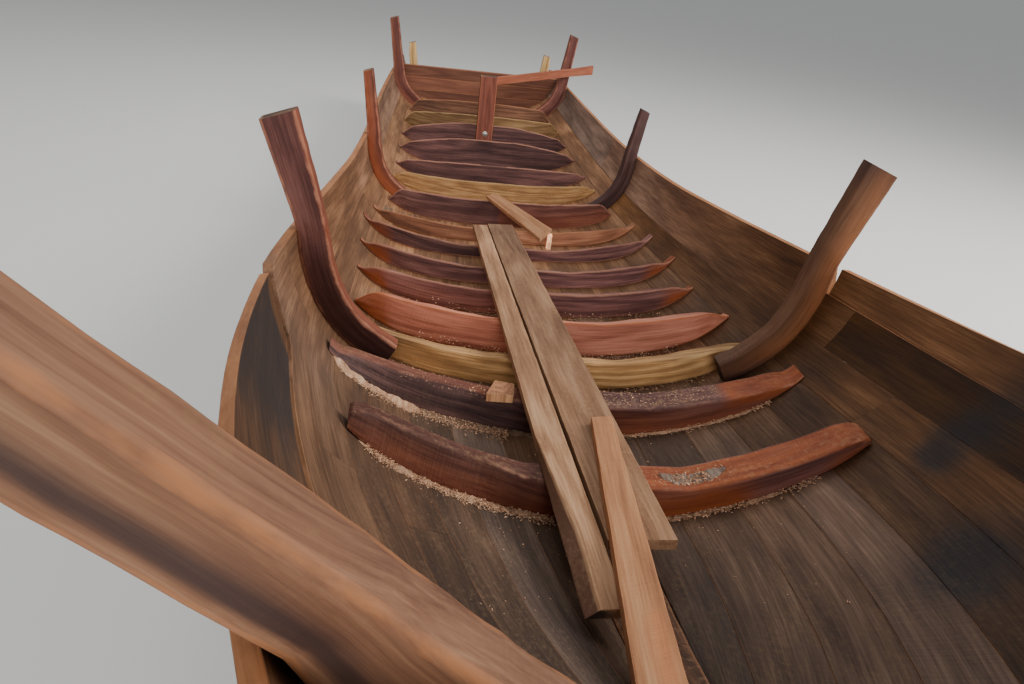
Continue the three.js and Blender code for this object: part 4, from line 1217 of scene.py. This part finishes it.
# Loose boards: sawn planks and a batten laid along the middle on the floor timbers, and a
# short one propped on a stub. Fresh from the saw, with fuzzy faces and square arrises.
board_wood = wood_finish(
    "board_wood", [(98, 62, 40), (147, 106, 74), (188, 147, 111)],
    [(150, 106, 70), (184, 146, 106)], 0.2, 6, stain_tint=(96, 60, 40), saw_marks=0.5,
    relief_mm=0.8, cloud_reach=0.3)
pink_board_wood = wood_finish(
    "pink_board_wood", [(130, 80, 50), (176, 120, 79), (206, 154, 110)],
    [(168, 98, 58), (206, 138, 92)], 0.1, 5, saw_marks=0.7, relief_mm=1.2)
board_end_grain = wood_finish(
    "board_end_grain", [(150, 104, 74), (188, 140, 104), (212, 168, 130)],
    [(160, 112, 74), (204, 160, 120)], 0.1, 14, saw_marks=0.8)
near_rest_y, far_rest_y = timber_face_y(1, 1), timber_face_y(4, 1)
board_slope = (timber_top_z(4) - timber_top_z(1)) / (far_rest_y - near_rest_y)
board_thickness = 0.030


def on_timbers(y, side):
    return timber_top_z(1) + seat_gap + board_slope * (y - near_rest_y)


def on_boards(y, side):
    return on_timbers(y, side) + board_thickness + seat_gap


def lay_board(name, node, plan, thickness, underside, finish, tone, seed, steps=60, stain=0.0,
              bark_edge=((0,), (0,)), rough_end=((0,), (0,))):
    """Board between two plan lines; plan runs near left, near right, far right, far left.
    The underside is a rule of the line's own points, given once for each side. The bark
    edge is the share of the top that slopes away on the left, and the rough end how
    freshly the middle of the top was sawn, each by distance from the near end."""
    near_left, near_right, far_right, far_left = (np.array(p) for p in plan)
    part = np.linspace(0, 1, steps)[:, None]
    left = near_left + (far_left - near_left) * part
    right = near_right + (far_right - near_right) * part
    distance = part[:, 0] * np.linalg.norm(far_left - near_left)
    left[:, 0] += np.abs(waver(distance, seed, 0.002))
    right[:, 0] -= np.abs(waver(distance, seed + 1, 0.002))
    left_z, right_z = underside(left[:, 1], -1), underside(right[:, 1], 1)
    waney = np.interp(distance, *bark_edge)
    waney = waney * (1 + waver(distance, seed + 3, 0.35, (0.11, 0.047, 0.021)))
    left_top = left + (right - left) * waney[:, None]
    corners = np.stack([
        np.column_stack([left, left_z]), np.column_stack([left_top, left_z + thickness]),
        np.column_stack([right, right_z + thickness]), np.column_stack([right, right_z]),
    ], 1)
    rings, edge, side_number, side_part = squared_ring(corners, 0.0018, 0.004)
    barked = np.clip(waney * 8, 0, 1)[:, None] * ((side_number == 0) & (side_part < 0.95))
    sawn = np.interp(distance, *rough_end)[:, None] * (
        (side_number == 1) & (side_part > 0.5) & (side_part < 0.8))
    run_of_board = {"rings": rings, "grain": heart_grain(rings, corners, seed + 2),
                    "edge": edge * 0.8 * (1 - barked), "tone": tone - 0.5 * barked,
                    "saw": 0.2 + sawn, "fresh": sawn, "stain": stain + 1.3 * barked}
    make_piece(name, [run_of_board], [finish, board_end_grain], "loose_board", node)


lay_board("long_batten", "loose_board_1",
          ((-0.162, -2.545), (-0.076, -2.541), (-0.128, 0.535), (-0.210, 0.520)),
          0.026, on_timbers, board_wood, 0.56, 300,
          bark_edge=((0, 0.25, 0.48, 0.68), (0.38, 0.38, 0.20, 0)))
lay_board("wide_board", "loose_board_2",
          ((-0.070, -2.330), (0.094, -2.326), (0.020, 0.572), (-0.124, 0.550)),
          board_thickness, on_timbers, board_wood, np.linspace(0.46, 0.30, 60)[:, None], 310,
          stain=0.30)
lay_board("pink_board", "loose_board_3",
          ((-0.128, -2.790), (-0.030, -2.760), (0.058, -1.795), (-0.004, -1.805)),
          0.028, on_boards, pink_board_wood, 0.52, 320,
          rough_end=((0, 0.18, 0.21), (1.2, 1.2, 0)))
stub_height = 0.086
stub_foot = timber_top_z(7) + seat_gap
# The stub's very pale tone is painted light, lifting it where it stands in shade.
lay_board("prop_stub", "board_stub",
          ((0.204, 0.408), (0.232, 0.408), (0.232, 0.438), (0.204, 0.438)),
          stub_height, lambda y, side: np.full_like(y, stub_foot), pink_board_wood, 1.35, 330,
          steps=4)
stub_top = stub_foot + stub_height
short_plan = ((0.157, 0.370), (0.226, 0.424), (-0.036, 1.100), (-0.100, 1.060))
short_far_z = timber_top_z(9) + seat_gap
short_dip, short_lift, short_twist = 0.029, 0.014, 0.011


def aslant(y, side):
    """Left edge low in the air, right edge up on the stub, far end on floor timber 9."""
    near_left, near_right, far_right, far_left = short_plan
    if side < 0:
        return np.interp(y, (near_left[1], far_left[1]), (stub_top - short_dip, short_far_z))
    return np.interp(y, (near_right[1], far_right[1]),
                     (stub_top + short_lift, short_far_z + short_twist))


lay_board("short_board", "loose_board_4", short_plan, 0.020, aslant,
          pink_board_wood, 0.36, 340, steps=24)


# Sawdust and chips: what the chainsaw and adze left, banked against the floor timbers,
# caught on their tops and scattered thinly over the bottom planks.
crumb_wood = wood_finish(
    "crumb_wood", [(142, 98, 70), (196, 152, 118), (226, 192, 160)],
    [(180, 136, 94), (210, 172, 128)], 0.0, 4, saw_marks=0.0, roughness=0.85, relief_mm=2.0,
    tone_reach=3.0)
# Heaped crumbs have no long grain, so their wood is squeezed up along the fibres.
crumbly = (30, 1, 1)
strewing = np.random.default_rng(52)


def strew(name, centres, low_size, high_size, flat=0.35):
    """Many small four-sided chips, each turned its own way, lying at the given places."""
    count = len(centres)
    size = strewing.uniform(low_size, high_size, (count, 1, 1)) * strewing.uniform(
        0.5, 1, (count, 1, 3)) * (1.6, 0.8, flat)
    shape = strewing.uniform(-0.25, 0.25, (count, 4, 3)) + (
        (-1, -0.6, -0.5), (1, -0.3, -0.5), (0.1, 0.9, -0.4), (0, 0, 0.9))
    shape = shape * size * 0.5
    spin = strewing.uniform(0, 2 * math.pi, count)
    tilt = strewing.normal(0, 0.35, (count, 1))
    x, y, z = shape[..., 0], shape[..., 1], shape[..., 2]
    y, z = y * np.cos(tilt) - z * np.sin(tilt), y * np.sin(tilt) + z * np.cos(tilt)
    c, s = np.cos(spin)[:, None], np.sin(spin)[:, None]
    chips = np.stack([x * c - y * s, x * s + y * c, z], -1) + centres[:, None]
    sides = np.array([(0, 2, 1), (0, 1, 3), (1, 2, 3), (2, 0, 3)])
    faces = (4 * np.arange(count)[:, None, None] + sides).reshape(-1, 3).tolist()
    grain = shape + strewing.uniform(0, 60, (count, 1, 3))
    masks = {mask: np.zeros(count * 4) for mask in mask_names}
    masks["tone"] = np.repeat(strewing.uniform(0.2, 0.9, count), 4)
    set_piece(name, chips.reshape(-1, 3), faces, [0] * len(faces), [crumb_wood],
              grain.reshape(-1, 3), masks, (), 5)


# The planking's height beside a timber is found once for each narrow band of distance.
bands_per_reach, last_band = 4, 11


def beside_timber(number, low_x, high_x, count, reach, behind=False):
    """Places on the planks along the foot of one floor timber, thickest against it."""
    shape = timber_shapes[number]
    foot_y = shape["back"].max() if behind else shape["front"].min()
    way = 1 if behind else -1
    x = strewing.uniform(low_x, high_x, count)
    away = np.abs(strewing.normal(0, reach, count))
    z = np.empty(count)
    bands = np.minimum((away / reach * bands_per_reach).astype(int), last_band)
    for band in np.unique(bands):
        here = bands == band
        y = foot_y + way * (band + 0.5) * reach / bands_per_reach
        z[here] = skin_height(x[here], y)
    face_y = np.interp(x, shape["x"], shape["back" if behind else "front"])
    heap = 0.010 * np.exp(-away / (reach * 0.7)) * strewing.uniform(0, 1, count)
    return np.stack([x, face_y + way * away, z + heap + 0.0015], 1)


def on_timber(number, low_x, high_x, count):
    """Places spread over the top of one floor timber."""
    shape = timber_shapes[number]
    x = strewing.uniform(low_x, high_x, count)
    part = strewing.uniform(0.15, 0.9, count)
    front, back = (np.interp(x, shape["x"], shape[side]) for side in ("front", "back"))
    top = np.interp(x, shape["x"], shape["top"])
    return np.stack([x, front + (back - front) * part, top + 0.001], 1)


def drift(number, low_x, high_x, reach, height, tone, seed, behind):
    """Bank of sawdust from the foot of a floor timber out over the planks, ragged along
    its toe. Reach and height are given at its left and right ends."""
    shape = timber_shapes[number]
    x = np.linspace(low_x, high_x, max(int((high_x - low_x) / 0.006), 12))
    part = (x - low_x) / (high_x - low_x)
    ends = np.clip(np.minimum(part, 1 - part) * 9, 0, 1) ** 0.5
    ragged = ends * (1 + waver(x, seed, 1.0, (0.21, 0.083, 0.037)))
    out = np.interp(part, (0, 1), reach) * ragged
    rise = np.interp(part, (0, 1), height) * ends * (1 + waver(x, seed + 1, 0.5, (0.17, 0.061)))
    foot = np.interp(x, shape["x"], shape["back" if behind else "front"])
    way = 1 if behind else -1
    near_y = foot.mean()
    far_y = near_y + way * max(reach)
    near_z, far_z = skin_height(x, near_y), skin_height(x, far_y)

    def on_planks(y, lift):
        z = near_z + (far_z - near_z) * (y - near_y) / (far_y - near_y)
        return line_of(x, y, z + lift)

    ring = [on_planks(foot - way * 0.004, -0.004)]
    for share, swell in ((-0.1, 1.0), (0.2, 0.9), (0.45, 0.6), (0.7, 0.35), (0.9, 0.12)):
        lumps = 1 + waver(x, seed + int(share * 90), 0.4, (0.053, 0.023))
        ring.append(on_planks(foot + way * out * share, rise * swell * lumps))
    ring.append(on_planks(foot + way * out, -0.002))
    ring = np.stack(ring, 1)
    run = {"rings": ring, "grain": ring * crumbly + seed, "tone": tone}
    make_piece(f"sawdust_drift_{seed}", [run], [crumb_wood], "loose_board", sharp_angle=70)


# floor timber, left and right end, reach and height at each end, tone, seed, behind it
for row in (
    (1, -0.640, -0.130, (0.022, 0.018), (0.006, 0.006), 0.15, 601, False),
    (1, 0.150, 0.345, (0.012, 0.016), (0.004, 0.004), 0.0, 603, False),
    (1, 0.385, 0.470, (0.014, 0.008), (0.005, 0.004), 0.3, 605, False),
    (2, -0.755, -0.480, (0.036, 0.044), (0.012, 0.010), 0.5, 607, False),
    (2, -0.500, -0.090, (0.040, 0.020), (0.009, 0.006), -0.5, 609, False),
    (2, 0.190, 0.660, (0.010, 0.010), (0.004, 0.004), 0.4, 611, False),
    (8, -0.740, -0.120, (0.190, 0.150), (0.016, 0.010), -0.5, 613, True),
    (1, -0.560, -0.160, (0.070, 0.040), (0.006, 0.005), -0.1, 615, True),
):
    drift(*row)
banks = np.concatenate([
    beside_timber(1, -0.62, -0.13, 1500, 0.018), beside_timber(1, 0.06, 0.56, 700, 0.012),
    beside_timber(2, -0.74, -0.20, 1900, 0.030), beside_timber(2, 0.06, 0.66, 700, 0.010),
    beside_timber(8, -0.72, -0.12, 900, 0.08, behind=True),
    beside_timber(1, -0.60, -0.20, 1300, 0.060, behind=True),
    beside_timber(1, 0.10, 0.55, 300, 0.050, behind=True),
    beside_timber(3, -0.60, 0.60, 500, 0.030), beside_timber(2, -0.5, 0.6, 500, 0.05, behind=True),
    beside_timber(4, -0.60, 0.60, 300, 0.030), beside_timber(5, -0.60, 0.60, 250, 0.030),
])
strew("sawdust_banks", banks, 0.003, 0.010)
tops = np.concatenate([
    on_timber(2, 0.05, 0.50, 420), on_timber(2, -0.55, -0.15, 160), on_timber(1, 0.10, 0.34, 60),
    on_timber(3, -0.5, 0.5, 200), on_timber(4, -0.5, 0.5, 120),
])
strew("sawdust_on_timbers", tops, 0.003, 0.008)
debris = on_timber(1, 0.150, 0.325, 220) - (0, 0, 0.010)
strew("hollow_debris", debris, 0.005, 0.014, 0.5)
shape = timber_shapes[1]
x = np.linspace(0.150, 0.330, 50)
front, back, top = (np.interp(x, shape["x"], shape[key]) for key in ("front", "back", "top"))
swell = np.sin(np.linspace(0, math.pi, 50)) ** 0.6
sunk = np.exp(-(((x - rot_middle) / rot_half_length) ** 4))
bed = top - (rot_depth + 0.0005) * sunk - 0.001
ring = []
for share, lift in ((0.2, -0.004), (0.28, 0.004), (0.42, 0.006), (0.58, 0.004), (0.72, 0.007),
                    (0.82, 0.004), (0.88, -0.004)):
    wander = waver(x, 620 + int(share * 50), 0.10, (0.071, 0.029))
    lumps = waver(x, 640 + int(share * 50), 0.004, (0.037, 0.015))
    y = front + (back - front) * (0.55 + (share - 0.55 + wander) * swell)
    ring.append(np.stack([x, y, bed + lift + lumps * (lift > 0)], 1))
ring = np.stack(ring, 1)
rot_run = {"rings": ring, "grain": ring * crumbly, "tone": -0.15, "grey": 0.45, "stain": 0.3}
make_piece("rotten_heart", [rot_run], [crumb_wood], "loose_board", sharp_angle=70)
scattered_count = 550
stations = strewing.uniform(3.0, 12.5, scattered_count)
girths = strewing.uniform(0.02, 0.45, (scattered_count, 1)) ** 1.1
scattered, _, _ = hull_side(stations, girths)
scattered = scattered[:, 0] + (0, 0, 0.0015)
scattered[:, 0] *= strewing.choice([-1, 1], scattered_count)
strew("scattered_chips", scattered, 0.003, 0.007, 0.3)

offcut_plan = np.array([(-0.280, -1.548), (-0.193, -1.552), (-0.186, -1.492), (-0.248, -1.476)])
offcut_low, offcut_high = timber_top_z(2) + 0.0005, timber_top_z(2) + 0.030
corners = np.stack([
    np.array([(*offcut_plan[0], z), (*offcut_plan[3], z + lift), (*offcut_plan[2], z + lift),
              (*offcut_plan[1], z)]) for z, lift in ((offcut_low, 0), (offcut_high, 0.006))
])
squared_piece("pale_offcut", corners, 0.002, 360, [board_wood, end_grain], "loose_board",
              guard=0.004, tone=1.05)


# Pale studio floor, and soft light that comes mainly from the open right-hand side, so
# the left planking is lit and the right planking lies in shade.
floor_mesh = bpy.data.meshes.new("studio_floor")
floor_half = 800
floor_z = -0.0006
floor_mesh.from_pydata(
    [(x * floor_half, y * floor_half, floor_z)
     for x, y in ((-1, -1), (1, -1), (1, 1), (-1, 1))], [], [(0, 1, 2, 3)])
floor_finish = bpy.data.materials.new("studio_floor")
floor_finish.use_nodes = True
floor_surface = floor_finish.node_tree.nodes["Principled BSDF"]
floor_surface.inputs["Base Color"].default_value = tint(226, 224, 218)
floor_surface.inputs["Roughness"].default_value = 0.9
floor_mesh.materials.append(floor_finish)
floor = bpy.data.objects.new("studio_floor", floor_mesh)
bpy.context.scene.collection.objects.link(floor)


def soft_light(name, place, aim, size, watts, colour=(1, 1, 1)):
    lamp = bpy.data.lights.new(name, "AREA")
    lamp.shape = "DISK"
    lamp.size = size
    lamp.energy = watts
    lamp.color = colour
    holder = bpy.data.objects.new(name, lamp)
    holder.location = place
    holder.rotation_euler = (Vector(aim) - Vector(place)).to_track_quat("-Z", "Y").to_euler()
    bpy.context.scene.collection.objects.link(holder)


soft_light("open_side", (6.0, -1.0, 5.2), (-0.4, -0.4, 0.6), 4.5, 560, (1.0, 0.97, 0.93))
soft_light("overhead", (-1.0, 3.0, 7.5), (0.2, 0.8, 0.3), 6.0, 220, (0.96, 0.98, 1.0))
soft_light("bow_fill", (-1.5, -15.0, 6.5), (0.0, 0.5, 0.5), 6.0, 1500)
world = bpy.data.worlds.new("studio_air")
bpy.context.scene.world = world
world.use_nodes = True
world.node_tree.nodes["Background"].inputs["Color"].default_value = (0.92, 0.95, 1.0, 1)
world.node_tree.nodes["Background"].inputs["Strength"].default_value = 0.40
